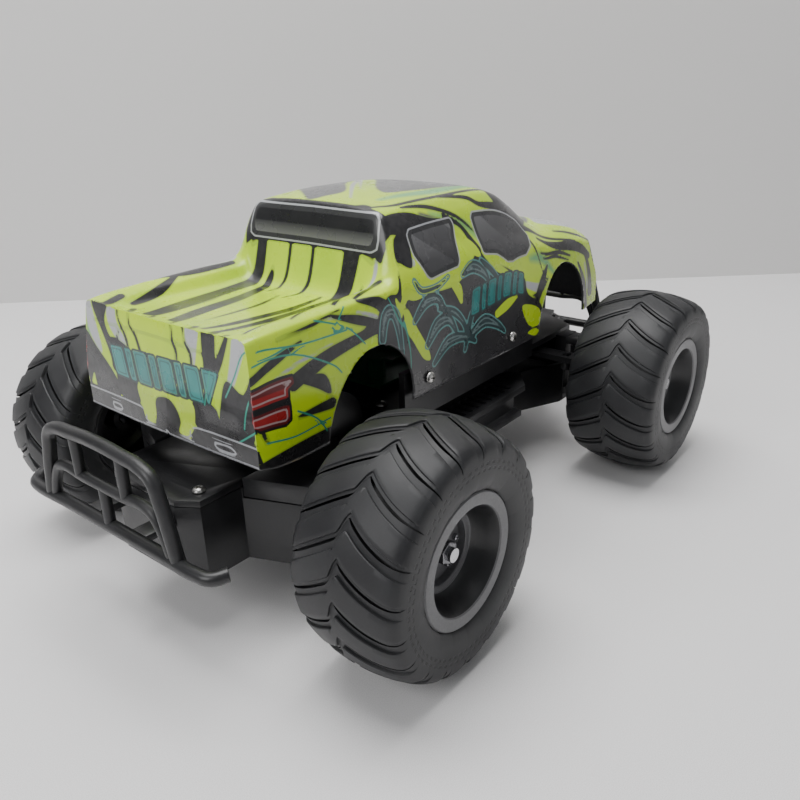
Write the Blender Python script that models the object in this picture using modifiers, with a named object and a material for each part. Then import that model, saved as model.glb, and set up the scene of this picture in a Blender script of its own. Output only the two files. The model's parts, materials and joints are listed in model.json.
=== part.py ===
"""Toy remote control pickup truck with big tyres, as separate pieces.

Metres, +X forward, +Y left, +Z up. The origin is on the ground under the middle of the truck.
"""
import math

import bmesh
import bpy
from mathutils import Matrix, Vector
from mathutils.geometry import convex_hull_2d

# ---------------------------------------------------------------- driving dimensions
GAP = 0.0003                 # between pieces that touch on the real toy
BORE_CLEARANCE = 0.0003      # between a pin and its hole, on the radius

WHEELBASE = 0.185
TYRE_DIAMETER = 0.089
TYRE_WIDTH = 0.044
TRACK = 0.179                # between the middles of the left and right tyres
RIM_RADIUS = 0.024           # the pale outer ring
RIM_DISH_RADIUS = 0.0194     # inside of the outer ring
RIM_STEP = 0.002             # height of the rim flanges over the tyre seat
FLANGE_INSIDE = 0.0055       # inner side of a flange from the face of the tyre
HUB_RING_RADIUS = 0.0145     # raised ring where the dish meets the hub plate
HUB_RING_OUT = 0.0105        # its face, outwards from the middle of the wheel
HUB_PLATE_OUT = 0.0072
HUB_SEAT_OUT = 0.0085        # where the wheel nut sits
HUB_BOSS_RADIUS = 0.0062
LUG_DEPTH = 0.0034
LUG_COUNT = 20               # chevron lugs round one tyre

# Heights are measured from the base line of the drawing, which the axles lie above. The last
# section sets the truck down until its tyres touch the ground.
AXLE_LINE = 0.048
CHASSIS_FLOOR = 0.028        # underside of the tub
FLOOR_THICKNESS = 0.0022
WALL = 0.0022
REAR_BOX_TOP = 0.0605
REAR_BOX_END = 0.138         # behind the middle of the truck
REAR_BOX_HALF = 0.026
TUB_HALF = 0.034             # half width of the tub at the battery
NOSE_END = 0.132
WING_HALF = 0.051            # half width across the rear axle wings
COVER_THICKNESS = 0.0025
DECK_HEIGHT = 0.062
DECK_THICKNESS = 0.003
SKIRT_HALF = 0.047           # outer face of the long side skirts
SKIRT_TOP = 0.084

AXLE_RADIUS = 0.0025
KINGPIN_RADIUS = 0.0015
KINGPIN_SPREAD = 0.057       # kingpin axis from the centre plane
STEER_ARM = 0.018            # kingpin to tie rod pin, and servo axis to its pin
STEER_LIMIT = math.radians(22)

GEAR_MODULE = 0.0007
AXLE_GEAR_TEETH = 36
SMALL_GEAR_TEETH = 12
BIG_GEAR_TEETH = 34
PINION_TEETH = 10
MOTOR_RADIUS = 0.012
MOTOR_LENGTH = 0.028

SHELL_THICKNESS = 0.0012
BODY_HALF = 0.0505           # half width of the shell at its lower edge
SCREW_HEAD_RADIUS = 0.00245
SCREW_RADIUS = 0.001

BUMPER_REACH = 0.1529        # bumper bars from the middle of the truck
BUMPER_BAR = 0.0025          # radius of the round bars
STEP_HALF = 0.053            # outer edge of the upper side step

# ---------------------------------------------------------------- derived places
AXLE_X = WHEELBASE / 2
AXLE_Z = AXLE_LINE
TYRE_RADIUS = TYRE_DIAMETER / 2
WHEEL_Y = TRACK / 2
DECK_TOP = DECK_HEIGHT + DECK_THICKNESS
FLOOR_TOP = CHASSIS_FLOOR + FLOOR_THICKNESS

SHELL_COLOUR = (0.58, 0.80, 0.04)
BLACK = (0.022, 0.022, 0.024)
RUBBER = (0.028, 0.028, 0.030)
STEEL = (0.62, 0.62, 0.64)
PALE_GREY = (0.50, 0.50, 0.52)
WHITE_PLASTIC = (0.80, 0.80, 0.77)
BATTERY_GREEN = (0.08, 0.30, 0.12)
BOARD_GREEN = (0.02, 0.18, 0.07)
BRASS = (0.70, 0.52, 0.20)

for old in list(bpy.data.objects):
    bpy.data.objects.remove(old, do_unlink=True)

parts = bpy.data.collections.new("remote_control_car")
cutters = bpy.data.collections.new("cutters")
bpy.context.scene.collection.children.link(parts)
bpy.context.scene.collection.children.link(cutters)


# ---------------------------------------------------------------- helpers
def material(name, colour, roughness=0.5, metallic=0.0):
    """A plain Principled material, made once for each name."""
    found = bpy.data.materials.get(name)
    if found:
        return found
    made = bpy.data.materials.new(name)
    made.use_nodes = True
    shader = made.node_tree.nodes["Principled BSDF"]
    shader.inputs["Base Color"].default_value = (*colour, 1.0)
    shader.inputs["Roughness"].default_value = roughness
    shader.inputs["Metallic"].default_value = metallic
    made.diffuse_color = (*colour, 1.0)
    return made


def add(name, mesh, finish=None):
    """An object for a mesh, in the parts collection with its material, or loose as a tool."""
    thing = bpy.data.objects.new(name, mesh)
    parts.objects.link(thing)
    if finish:
        mesh.materials.clear()
        mesh.materials.append(finish)
        mesh.shade_smooth()
        mesh.set_sharp_from_angle(angle=math.radians(35))
    return thing


def mesh_from(build):
    """A mesh holding whatever build(bm) makes."""
    bm = bmesh.new()
    build(bm)
    mesh = bpy.data.meshes.new("mesh")
    bm.to_mesh(mesh)
    bm.free()
    return mesh


def box_mesh(low, high):
    low, high = Vector(low), Vector(high)
    size = high - low
    place = Matrix.Translation((low + high) / 2) @ Matrix.Diagonal((*size, 1.0))
    return mesh_from(lambda bm: bmesh.ops.create_cube(bm, size=1.0, matrix=place))


def turn_to(axis):
    """The rotation that takes local +Z to the named world axis."""
    return {"x": Matrix.Rotation(math.pi / 2, 4, "Y"),
            "y": Matrix.Rotation(-math.pi / 2, 4, "X"),
            "z": Matrix.Identity(4)}[axis]


def rod_mesh(centre, axis, radius, length, sides=16):
    """A cylinder of the given length with its middle at centre."""
    place = Matrix.Translation(centre) @ turn_to(axis)
    return mesh_from(lambda bm: bmesh.ops.create_cone(
        bm, cap_ends=True, segments=sides, radius1=radius, radius2=radius,
        depth=length, matrix=place))


def plate_mesh(outline, low, high):
    """A flat outline in XY filled and given its thickness, from z = low to z = high."""
    curve = bpy.data.curves.new("outline", "CURVE")
    curve.dimensions = "2D"
    curve.fill_mode = "BOTH"
    curve.extrude = (high - low) / 2
    spline = curve.splines.new("POLY")
    spline.points.add(len(outline) - 1)
    for point, (x, y) in zip(spline.points, outline):
        point.co = (x, y, 0, 1)
    spline.use_cyclic_u = True
    holder = bpy.data.objects.new("outline", curve)
    bpy.context.scene.collection.objects.link(holder)
    seen = holder.evaluated_get(bpy.context.evaluated_depsgraph_get())
    mesh = bpy.data.meshes.new_from_object(seen)
    bpy.data.objects.remove(holder, do_unlink=True)
    return tidy(mesh, Matrix.Translation((0, 0, (low + high) / 2)), flatten=True)


def tidy(mesh, place=None, flatten=False):
    """Weld the mesh, point its faces outwards and move it to its place.

    Flattening joins the triangles of a flat cap into one face, so Booleans meet no slivers.
    """
    bm = bmesh.new()
    bm.from_mesh(mesh)
    bmesh.ops.remove_doubles(bm, verts=bm.verts, dist=1e-6)
    if flatten:
        bmesh.ops.dissolve_limit(bm, angle_limit=math.radians(0.1), verts=bm.verts, edges=bm.edges)
    bmesh.ops.recalc_face_normals(bm, faces=bm.faces)
    if place:
        bmesh.ops.transform(bm, matrix=place, verts=bm.verts)
    bm.to_mesh(mesh)
    bm.free()
    return mesh


def side_plate_mesh(outline, low, high):
    """A flat outline in XZ given its thickness from y = low to y = high."""
    mesh = plate_mesh([(x, -z) for x, z in outline], low, high)
    mesh.transform(turn_to("y"))
    return mesh


def turned_mesh(profile, centre, axis, steps):
    """A profile of (radius, height) points turned round the named axis through centre.

    The profile is closed unless it starts and ends on the axis.
    """
    mesh = bpy.data.meshes.new("profile")
    points = [(r, 0, h) for r, h in profile]
    edges = [(i, i + 1) for i in range(len(points) - 1)]
    if profile[0][0] > 0:
        edges.append((len(points) - 1, 0))
    mesh.from_pydata(points, edges, [])
    holder = bpy.data.objects.new("profile", mesh)
    bpy.context.scene.collection.objects.link(holder)
    screw = holder.modifiers.new("turn", "SCREW")
    screw.axis = "Z"
    screw.steps = steps
    screw.render_steps = steps
    screw.use_merge_vertices = True
    screw.merge_threshold = 1e-5
    seen = holder.evaluated_get(bpy.context.evaluated_depsgraph_get())
    made = bpy.data.meshes.new_from_object(seen)
    bpy.data.objects.remove(holder, do_unlink=True)
    return tidy(made, Matrix.Translation(centre) @ turn_to(axis))


def tube_mesh(points, radius, closed=False, sides=2):
    """A round bar along a polyline, with filled caps."""
    curve = bpy.data.curves.new("bar", "CURVE")
    curve.dimensions = "3D"
    curve.bevel_depth = radius
    curve.bevel_resolution = sides
    curve.use_fill_caps = True
    spline = curve.splines.new("POLY")
    spline.points.add(len(points) - 1)
    for point, place in zip(spline.points, points):
        point.co = (*place, 1)
    spline.use_cyclic_u = closed
    holder = bpy.data.objects.new("bar", curve)
    bpy.context.scene.collection.objects.link(holder)
    seen = holder.evaluated_get(bpy.context.evaluated_depsgraph_get())
    mesh = bpy.data.meshes.new_from_object(seen)
    bpy.data.objects.remove(holder, do_unlink=True)
    return tidy(mesh)


def combine(target, operation, meshes):
    """Boolean each mesh into the target, with the tools kept in the cutters collection."""
    for mesh in meshes:
        tool = bpy.data.objects.new(target.name + ".tool", mesh)
        cutters.objects.link(tool)
        tool.display_type = "WIRE"
        tool.hide_render = True
        change = target.modifiers.new(operation.lower(), "BOOLEAN")
        change.operation = operation
        change.solver = "EXACT"
        change.object = tool


def mirrored(outline):
    """A half outline at y > 0, from rear to front, closed by its mirror image."""
    return [(x, y) for x, y in outline] + [(x, -y) for x, y in reversed(outline)]


def arc(centre, radius, start, stop, steps):
    """Points on a circular arc, with angles in degrees."""
    turns = [math.radians(start + (stop - start) * i / steps) for i in range(steps + 1)]
    return [(centre[0] + radius * math.cos(a), centre[1] + radius * math.sin(a)) for a in turns]


def hull(circles, steps=20):
    """The outline of a belt stretched round circles given as (x, y, radius)."""
    cloud = []
    for x, y, radius in circles:
        cloud += arc((x, y), radius, 0, 360, steps)[:-1]
    return [cloud[i] for i in convex_hull_2d(cloud)]


# ---------------------------------------------------------------- finishes
SHELL = material("printed_shell", SHELL_COLOUR, 0.25)
PLASTIC = material("black_plastic", BLACK, 0.5)
TYRE = material("tyre_rubber", RUBBER, 0.7)
METAL = material("bright_steel", STEEL, 0.3, 1.0)
RIM = material("rim_plastic", PALE_GREY, 0.45)
NYLON = material("white_nylon", WHITE_PLASTIC, 0.5)
CELL = material("battery_wrap", BATTERY_GREEN, 0.4)
BOARD = material("circuit_board", BOARD_GREEN, 0.4)
BUSH = material("brass_bush", BRASS, 0.35, 1.0)


# ---------------------------------------------------------------- wheels
def tyre_mesh(x, side):
    """A hollow tyre open towards the rim, with chevron lugs that stand out of its tread."""
    half = TYRE_WIDTH / 2
    bead = RIM_RADIUS + GAP
    seat = RIM_RADIUS - RIM_STEP + GAP
    heel = half - FLANGE_INSIDE - GAP
    root = TYRE_RADIUS - LUG_DEPTH
    inside = root - 0.0028
    outer = [(bead, half - 0.0026), (0.031, half), (root - 0.0042, half - 0.0004),
             (root - 0.0022, half - 0.0045), (root - 0.0004, half * 0.43)]
    inner = [(seat, -heel), (seat + 0.001, -(heel - 0.004)), (inside, -(half - 0.010)),
             (inside, half - 0.010), (seat + 0.001, heel - 0.004), (seat, heel)]
    profile = outer + [(root, 0.0)] + [(r, -h) for r, h in reversed(outer)]
    profile += [(bead, -heel)] + inner + [(bead, heel)]
    steps = LUG_COUNT * 2
    mesh = turned_mesh(profile, (0, 0, 0), "z", steps)
    for vertex in mesh.vertices:
        radius = math.hypot(vertex.co.x, vertex.co.y)
        if radius < root - 0.0045:
            continue
        ring = round(math.atan2(vertex.co.x, -vertex.co.y) / (2 * math.pi) * steps)
        across = abs(vertex.co.z) / half
        swept = 1 if across > 0.3 else 0
        if (ring + swept) % 2 == 0:
            rise = LUG_DEPTH * (0.45 if across > 0.9 else 1 - 0.2 * across)
            vertex.co.x *= 1 + rise / radius
            vertex.co.y *= 1 + rise / radius
    flip = Matrix.Rotation(-math.pi / 2 * side, 4, "X")
    mesh.transform(Matrix.Translation((x, side * WHEEL_Y, AXLE_Z)) @ flip)
    return mesh


def rim_mesh(x, side):
    """A deep dish rim with two flanges, a hub face and a bore for the axle."""
    half = TYRE_WIDTH / 2
    face = half - 0.0018
    lip = half - FLANGE_INSIDE
    seat = RIM_RADIUS - RIM_STEP
    bore = AXLE_RADIUS + BORE_CLEARANCE
    ring_step = HUB_RING_RADIUS - 0.0025
    profile = [(RIM_RADIUS, face), (RIM_RADIUS, lip), (seat, lip), (seat, -lip),
               (RIM_RADIUS, -lip), (RIM_RADIUS, -face), (0.0205, -face), (0.0185, 0.0020),
               (0.0160, 0.0045), (0.0065, 0.0045), (0.0055, -0.004), (bore, -0.004),
               (bore, HUB_SEAT_OUT), (HUB_BOSS_RADIUS, HUB_SEAT_OUT),
               (HUB_BOSS_RADIUS, HUB_PLATE_OUT), (ring_step, HUB_PLATE_OUT),
               (ring_step, HUB_RING_OUT), (HUB_RING_RADIUS, HUB_RING_OUT),
               (RIM_DISH_RADIUS, face)]
    mesh = turned_mesh(profile, (0, 0, 0), "z", 24)
    flip = Matrix.Rotation(-math.pi / 2 * side, 4, "X")
    mesh.transform(Matrix.Translation((x, side * WHEEL_Y, AXLE_Z)) @ flip)
    return mesh


def nut_mesh(x, side):
    """A hexagonal wheel nut seated on the hub boss."""
    seat = WHEEL_Y + HUB_SEAT_OUT + GAP
    height = 0.0036
    centre = (x, side * (seat + height / 2), AXLE_Z)
    return rod_mesh(centre, "y", 0.0045, height, 6)


for end, x in (("front", AXLE_X), ("rear", -AXLE_X)):
    for side_name, side in (("left", 1), ("right", -1)):
        label = end + "_%s_" + side_name
        add(label % "tyre", tyre_mesh(x, side), TYRE)
        add(label % "rim", rim_mesh(x, side), RIM)
        nut = add(label % "wheel_nut", nut_mesh(x, side), METAL)
        hole = rod_mesh((x, side * WHEEL_Y, AXLE_Z), "y", AXLE_RADIUS + BORE_CLEARANCE, TYRE_WIDTH)
        combine(nut, "DIFFERENCE", [hole])

AXLE_END = WHEEL_Y + 0.0142
add("rear_axle", rod_mesh((-AXLE_X, 0, AXLE_Z), "y", AXLE_RADIUS, 2 * AXLE_END, 20), METAL)


# ---------------------------------------------------------------- gears
def gear_mesh(teeth, centre, low, high, bore, turn):
    """A spur gear between y = low and y = high, turned by a share of one tooth."""
    pitch = GEAR_MODULE * teeth / 2
    root = pitch - 1.25 * GEAR_MODULE
    tip = pitch + 0.85 * GEAR_MODULE
    step = 2 * math.pi / teeth
    outline = []
    for tooth in range(teeth):
        middle = (tooth + turn) * step
        for radius, share in ((root, -0.27), (tip, -0.10), (tip, 0.10), (root, 0.27)):
            angle = middle + share * step
            outline.append((radius * math.cos(angle), radius * math.sin(angle)))
    mesh = side_plate_mesh(outline, low, high)
    mesh.transform(Matrix.Translation((centre[0], 0, centre[1])))
    hole = rod_mesh((centre[0], (low + high) / 2, centre[1]), "y", bore, 2 * (high - low), 16)
    return mesh, hole


REDUCTION = (-AXLE_X + 0.0155, AXLE_Z + 0.0067)
MOTOR = (REDUCTION[0] + 0.0140, REDUCTION[1] + 0.0066)
MOTOR_FRONT = 0.007
MOUNT_PLATE = (MOTOR_FRONT + GAP, MOTOR_FRONT + 0.0023)
BIG_GEAR = (0.0100, 0.0140)
SMALL_GEAR = (0.0140, 0.0200)
GEAR_PLATE = (0.0208, 0.0228)
AXLE_GEAR = (0.0148, 0.0195)
PINION = (0.0098, 0.0146)
GEAR_SHAFT_RADIUS = 0.0015
MOTOR_SHAFT_RADIUS = 0.001


def contact_angle(start, end):
    """The direction from one gear centre to the next, in the XZ plane."""
    return math.atan2(end[1] - start[1], end[0] - start[0])


def facing_turn(teeth, angle, gap_faces):
    """The share of a tooth that puts a tooth, or the gap between two, at an angle."""
    share = angle / (2 * math.pi) * teeth
    return share - math.floor(share) + (0.5 if gap_faces else 0.0)


AXLE_CENTRE = (-AXLE_X, AXLE_Z)
to_reduction = contact_angle(AXLE_CENTRE, REDUCTION)
to_motor = contact_angle(REDUCTION, MOTOR)

blank, hole = gear_mesh(AXLE_GEAR_TEETH, AXLE_CENTRE, *AXLE_GEAR, AXLE_RADIUS + BORE_CLEARANCE,
                        facing_turn(AXLE_GEAR_TEETH, to_reduction, False))
axle_gear = add("axle_gear", blank, NYLON)
combine(axle_gear, "DIFFERENCE", [hole])

small, hole = gear_mesh(SMALL_GEAR_TEETH, REDUCTION, SMALL_GEAR[0] - 0.001, SMALL_GEAR[1],
                        GEAR_SHAFT_RADIUS + BORE_CLEARANCE,
                        facing_turn(SMALL_GEAR_TEETH, to_reduction + math.pi, True))
big, _ = gear_mesh(BIG_GEAR_TEETH, REDUCTION, *BIG_GEAR, GEAR_SHAFT_RADIUS,
                   facing_turn(BIG_GEAR_TEETH, to_motor, False))
reduction_gear = add("reduction_gear", big, NYLON)
combine(reduction_gear, "UNION", [small])
combine(reduction_gear, "DIFFERENCE", [hole])

pinion, _ = gear_mesh(PINION_TEETH, MOTOR, *PINION, MOTOR_SHAFT_RADIUS,
                      facing_turn(PINION_TEETH, to_motor + math.pi, True))
motor_pinion = add("motor_pinion", pinion, BUSH)
shaft_low = MOTOR_FRONT - 0.004
combine(motor_pinion, "UNION", [rod_mesh((MOTOR[0], (shaft_low + PINION[1] + 0.001) / 2, MOTOR[1]),
                                         "y", MOTOR_SHAFT_RADIUS,
                                         PINION[1] + 0.001 - shaft_low, 12)])

motor_profile = [(0, MOTOR_FRONT + 0.0020), (0.0036, MOTOR_FRONT + 0.0020), (0.0036, MOTOR_FRONT),
                 (MOTOR_RADIUS - 0.001, MOTOR_FRONT), (MOTOR_RADIUS, MOTOR_FRONT - 0.001),
                 (MOTOR_RADIUS, MOTOR_FRONT - MOTOR_LENGTH + 0.001),
                 (MOTOR_RADIUS - 0.001, MOTOR_FRONT - MOTOR_LENGTH),
                 (0, MOTOR_FRONT - MOTOR_LENGTH)]
drive_motor = add("drive_motor", turned_mesh(motor_profile, (MOTOR[0], 0, MOTOR[1]), "y", 24), METAL)
combine(drive_motor, "DIFFERENCE", [rod_mesh((MOTOR[0], MOTOR_FRONT, MOTOR[1]), "y",
                                             MOTOR_SHAFT_RADIUS + BORE_CLEARANCE, 0.010, 12)])

axle_lug = (*AXLE_CENTRE, 0.0060)
shaft_lug = (*REDUCTION, 0.0045)
axle_hole = rod_mesh((-AXLE_X, 0.015, AXLE_Z), "y", AXLE_RADIUS + 2 * BORE_CLEARANCE, 0.020, 20)
shaft_hole = rod_mesh((REDUCTION[0], 0.015, REDUCTION[1]), "y",
                      GEAR_SHAFT_RADIUS + BORE_CLEARANCE, 0.020, 16)
mount_outline = hull([(*MOTOR, 0.0105), shaft_lug, axle_lug])
motor_mount = add("motor_mount", side_plate_mesh(mount_outline, *MOUNT_PLATE), PLASTIC)
combine(motor_mount, "DIFFERENCE", [
    rod_mesh((MOTOR[0], MOTOR_FRONT, MOTOR[1]), "y", 0.0036 + BORE_CLEARANCE, 0.010, 20),
    axle_hole, shaft_hole])
gear_plate = add("gear_plate", side_plate_mesh(hull([shaft_lug, axle_lug]), *GEAR_PLATE), PLASTIC)
combine(gear_plate, "DIFFERENCE", [axle_hole.copy(), shaft_hole.copy()])

shaft_ends = (MOUNT_PLATE[0], GEAR_PLATE[1] + 0.0004)
add("gear_shaft", rod_mesh((REDUCTION[0], sum(shaft_ends) / 2, REDUCTION[1]), "y",
                           GEAR_SHAFT_RADIUS, shaft_ends[1] - shaft_ends[0], 16), METAL)

# ---------------------------------------------------------------- chassis tub
WING_REAR = AXLE_X + 0.0225      # rear corner of the wing where it leaves the box
WING_FRONT = AXLE_X - 0.0225
MID_REAR = AXLE_X - 0.0345       # where the battery section starts
MID_FRONT = AXLE_X - 0.0465
TUB_STEP = -MID_REAR + 0.012     # where the low rear bay meets the tall battery section
HUB_HALF = 0.050                 # half width of the front wings behind the hubs
HUB_BLOCK = 0.006                # half length of a front hub block

DRAFT = 0.0004                   # how much the box narrows towards its ends

tub_half_outline = [
    (-REAR_BOX_END, REAR_BOX_HALF - 0.008), (-REAR_BOX_END + 0.005, REAR_BOX_HALF - DRAFT),
    (-WING_REAR, REAR_BOX_HALF), (-AXLE_X - 0.0125, WING_HALF), (-AXLE_X + 0.0135, WING_HALF),
    (-WING_FRONT, REAR_BOX_HALF + 0.004), (-MID_REAR, TUB_HALF), (MID_FRONT, TUB_HALF),
    (MID_FRONT + 0.014, TUB_HALF + 0.004), (AXLE_X - HUB_BLOCK - 0.002, HUB_HALF - 0.0005),
    (AXLE_X + HUB_BLOCK + 0.002, HUB_HALF - 0.0005), (AXLE_X + 0.020, REAR_BOX_HALF + 0.002),
    (NOSE_END - 0.005, REAR_BOX_HALF - 2 * DRAFT), (NOSE_END, REAR_BOX_HALF - 0.008)]


def inset(outline, amount):
    """A half outline moved inwards along the mean normal of each corner."""
    moved = []
    for i, (x, y) in enumerate(outline):
        before = Vector(outline[i - 1]) if i else Vector((x, 0))
        after = Vector(outline[i + 1]) if i + 1 < len(outline) else Vector((x, 0))
        here = Vector((x, y))
        a = (here - before).normalized()
        b = (after - here).normalized()
        normal = Vector((a.y + b.y, -a.x - b.x)).normalized()
        reach = amount / max(0.3, normal.dot(Vector((a.y, -a.x))))
        moved.append(tuple(here + normal * reach))
    return moved


TUB_TOP = DECK_HEIGHT - GAP
WING_SEAM = REAR_BOX_TOP - 0.007
COVER_SEAT = REAR_BOX_TOP - COVER_THICKNESS - GAP
FRONT_WALL_TOP = 0.050
FAR = 0.5                        # larger than the truck, for cuts that run right through

chassis_tub = add("chassis_tub", plate_mesh(mirrored(tub_half_outline), CHASSIS_FLOOR, TUB_TOP),
                  PLASTIC)
hollow = plate_mesh(mirrored(inset(tub_half_outline, WALL)), FLOOR_TOP, FAR)
over_box = box_mesh((-FAR, -FAR, COVER_SEAT), (TUB_STEP, FAR, FAR))
over_wings = []
for side in (1, -1):
    beyond = sorted((side * (REAR_BOX_HALF + 0.0002), side * FAR))
    over_wings.append(box_mesh((-FAR, beyond[0], WING_SEAM),
                               (-WING_FRONT + 0.0005, beyond[1], FAR)))
over_front = box_mesh((MID_FRONT + 0.006, -FAR, FRONT_WALL_TOP), (AXLE_X + 0.016, FAR, FAR))
axle_bore = rod_mesh((-AXLE_X, 0, AXLE_Z), "y", 0.0045 + GAP, FAR, 20)
BATTERY = ((-0.050, -0.021), (0.024, 0.021))
DOOR_MARGIN = 0.002
battery_opening = box_mesh((BATTERY[0][0] - DOOR_MARGIN, BATTERY[0][1] - DOOR_MARGIN, 0),
                           (BATTERY[1][0] + DOOR_MARGIN, BATTERY[1][1] + DOOR_MARGIN,
                            FLOOR_TOP + 0.001))
SWITCH_X = 0.036
SWITCH_TRAVEL = 0.004
SWITCH_SIZE = (0.005, 0.004)
switch_slot = box_mesh((SWITCH_X - SWITCH_SIZE[0] / 2 - GAP, -SWITCH_SIZE[1] / 2 - GAP, 0),
                       (SWITCH_X + SWITCH_SIZE[0] / 2 + SWITCH_TRAVEL + GAP,
                        SWITCH_SIZE[1] / 2 + GAP, FLOOR_TOP + 0.001))

UPPER_ARM = (0.0604, 0.0640)
LOWER_ARM = (0.0320, 0.0356)
hub_blocks = []
for side in (1, -1):
    inner = sorted((side * (HUB_HALF - 0.006), side * HUB_HALF))
    reach = sorted((side * (HUB_HALF - 0.001), side * (KINGPIN_SPREAD + 0.0055)))
    hub_blocks.append(box_mesh((AXLE_X - HUB_BLOCK, inner[0], CHASSIS_FLOOR + 0.0005),
                               (AXLE_X + HUB_BLOCK, inner[1], UPPER_ARM[1] + 0.0004)))
    for low, high in (UPPER_ARM, LOWER_ARM):
        hub_blocks.append(box_mesh((AXLE_X - HUB_BLOCK + 0.0005, reach[0], low),
                                   (AXLE_X + HUB_BLOCK - 0.0005, reach[1], high)))
kingpin_bores = [rod_mesh((AXLE_X, s * KINGPIN_SPREAD, AXLE_Z), "z",
                          KINGPIN_RADIUS + BORE_CLEARANCE, 0.060, 16) for s in (1, -1)]
combine(chassis_tub, "DIFFERENCE", [hollow, over_box] + over_wings + [over_front])
combine(chassis_tub, "UNION", hub_blocks)
combine(chassis_tub, "DIFFERENCE", kingpin_bores + [axle_bore, battery_opening, switch_slot])

for side_name, side in (("left", 1), ("right", -1)):
    bush = add("rear_bush_" + side_name,
               rod_mesh((-AXLE_X, side * (WING_HALF - 0.0008), AXLE_Z), "y", 0.0045, 0.0044, 20),
               BUSH)
    combine(bush, "DIFFERENCE", [rod_mesh((-AXLE_X, side * WING_HALF, AXLE_Z), "y",
                                          AXLE_RADIUS + BORE_CLEARANCE, 0.02, 20)])

# ---------------------------------------------------------------- lids over the tub
COVER_FRONT = -AXLE_X - 0.0138   # where the flat lid ends, behind the gearbox hump
rear_cover_outline = mirrored([
    (-REAR_BOX_END, REAR_BOX_HALF - 0.008), (-REAR_BOX_END + 0.005, REAR_BOX_HALF),
    (COVER_FRONT, REAR_BOX_HALF)])
rear_cover = add("rear_cover", plate_mesh(rear_cover_outline, COVER_SEAT + GAP, REAR_BOX_TOP),
                 PLASTIC)
COVER_SCREW_X = -0.1286
COVER_SCREW_Y = 0.0200
BOSS_RADIUS = 0.0032

for side_name, side in (("left", 1), ("right", -1)):
    place = (COVER_SCREW_X, side * COVER_SCREW_Y)
    combine(rear_cover, "DIFFERENCE", [rod_mesh((*place, REAR_BOX_TOP), "z",
                                                SCREW_RADIUS + BORE_CLEARANCE, 0.02, 12)])
    combine(chassis_tub, "UNION", [rod_mesh((*place, (CHASSIS_FLOOR + COVER_SEAT) / 2 + 0.0005),
                                            "z", BOSS_RADIUS,
                                            COVER_SEAT - CHASSIS_FLOOR - 0.001, 14)])
    combine(chassis_tub, "DIFFERENCE", [rod_mesh((*place, COVER_SEAT), "z",
                                                 SCREW_RADIUS + BORE_CLEARANCE, 0.016, 12)])

wing_half_outline = [(-WING_REAR + 0.0004, REAR_BOX_HALF + GAP), (-AXLE_X - 0.0125, WING_HALF),
                     (-AXLE_X + 0.0135, WING_HALF), (-WING_FRONT, REAR_BOX_HALF + 0.004),
                     (-WING_FRONT, REAR_BOX_HALF + GAP)]
WING_TOP = REAR_BOX_TOP + 0.001
for side_name, side in (("left", 1), ("right", -1)):
    outline = [(x, side * y) for x, y in wing_half_outline]
    cover = add("axle_cover_" + side_name, plate_mesh(outline, WING_SEAM + GAP, WING_TOP), PLASTIC)
    room = sorted((side * (REAR_BOX_HALF + WALL), side * (WING_HALF - WALL)))
    combine(cover, "DIFFERENCE", [box_mesh((-AXLE_X - 0.0105, room[0], 0),
                                           (-AXLE_X + 0.0115, room[1], WING_TOP - COVER_THICKNESS))])

DOME_WALL = 0.0018
DOME_HALF = REAR_BOX_HALF - 0.0006
dome_circles = [(*AXLE_CENTRE, 0.0144), (*REDUCTION, 0.0140),
                (*MOTOR, MOTOR_RADIUS + 0.0013)]
outer_circles = [(x, z, radius + DOME_WALL) for x, z, radius in dome_circles]
gearbox_cover = add("gearbox_cover", side_plate_mesh(hull(outer_circles, 24), -DOME_HALF, DOME_HALF),
                    PLASTIC)
inner_half = DOME_HALF - DOME_WALL
combine(gearbox_cover, "DIFFERENCE", [
    side_plate_mesh(hull(dome_circles, 24), -inner_half, inner_half),
    box_mesh((-FAR, -FAR, -FAR), (FAR, FAR, COVER_SEAT + GAP))])

# ---------------------------------------------------------------- deck and shell screws
SCREW_X = (-0.034, 0.030)
SCREW_Z = 0.080
deck_half_outline = [(TUB_STEP, SKIRT_HALF),
                     (0.056, SKIRT_HALF), (0.064, 0.0425), (AXLE_X + 0.013, 0.0425),
                     (AXLE_X + 0.022, REAR_BOX_HALF), (NOSE_END - 0.006, REAR_BOX_HALF - 0.004)]
chassis_deck = add("chassis_deck", plate_mesh(mirrored(deck_half_outline), DECK_HEIGHT, DECK_TOP),
                   PLASTIC)
SKIRT_WALL = 0.003
SKIRT_ENDS = (TUB_STEP, 0.056)
skirts = []
screw_holes = []
for side in (1, -1):
    wall = sorted((side * (SKIRT_HALF - SKIRT_WALL), side * SKIRT_HALF))
    skirts.append(box_mesh((SKIRT_ENDS[0], wall[0], DECK_HEIGHT + 0.0001),
                           (SKIRT_ENDS[1], wall[1], SKIRT_TOP)))
    for x in SCREW_X:
        screw_holes.append(rod_mesh((x, side * SKIRT_HALF, SCREW_Z), "y",
                                    SCREW_RADIUS + BORE_CLEARANCE, 0.012, 12))
combine(chassis_deck, "UNION", skirts)
combine(chassis_deck, "DIFFERENCE", screw_holes)

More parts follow.
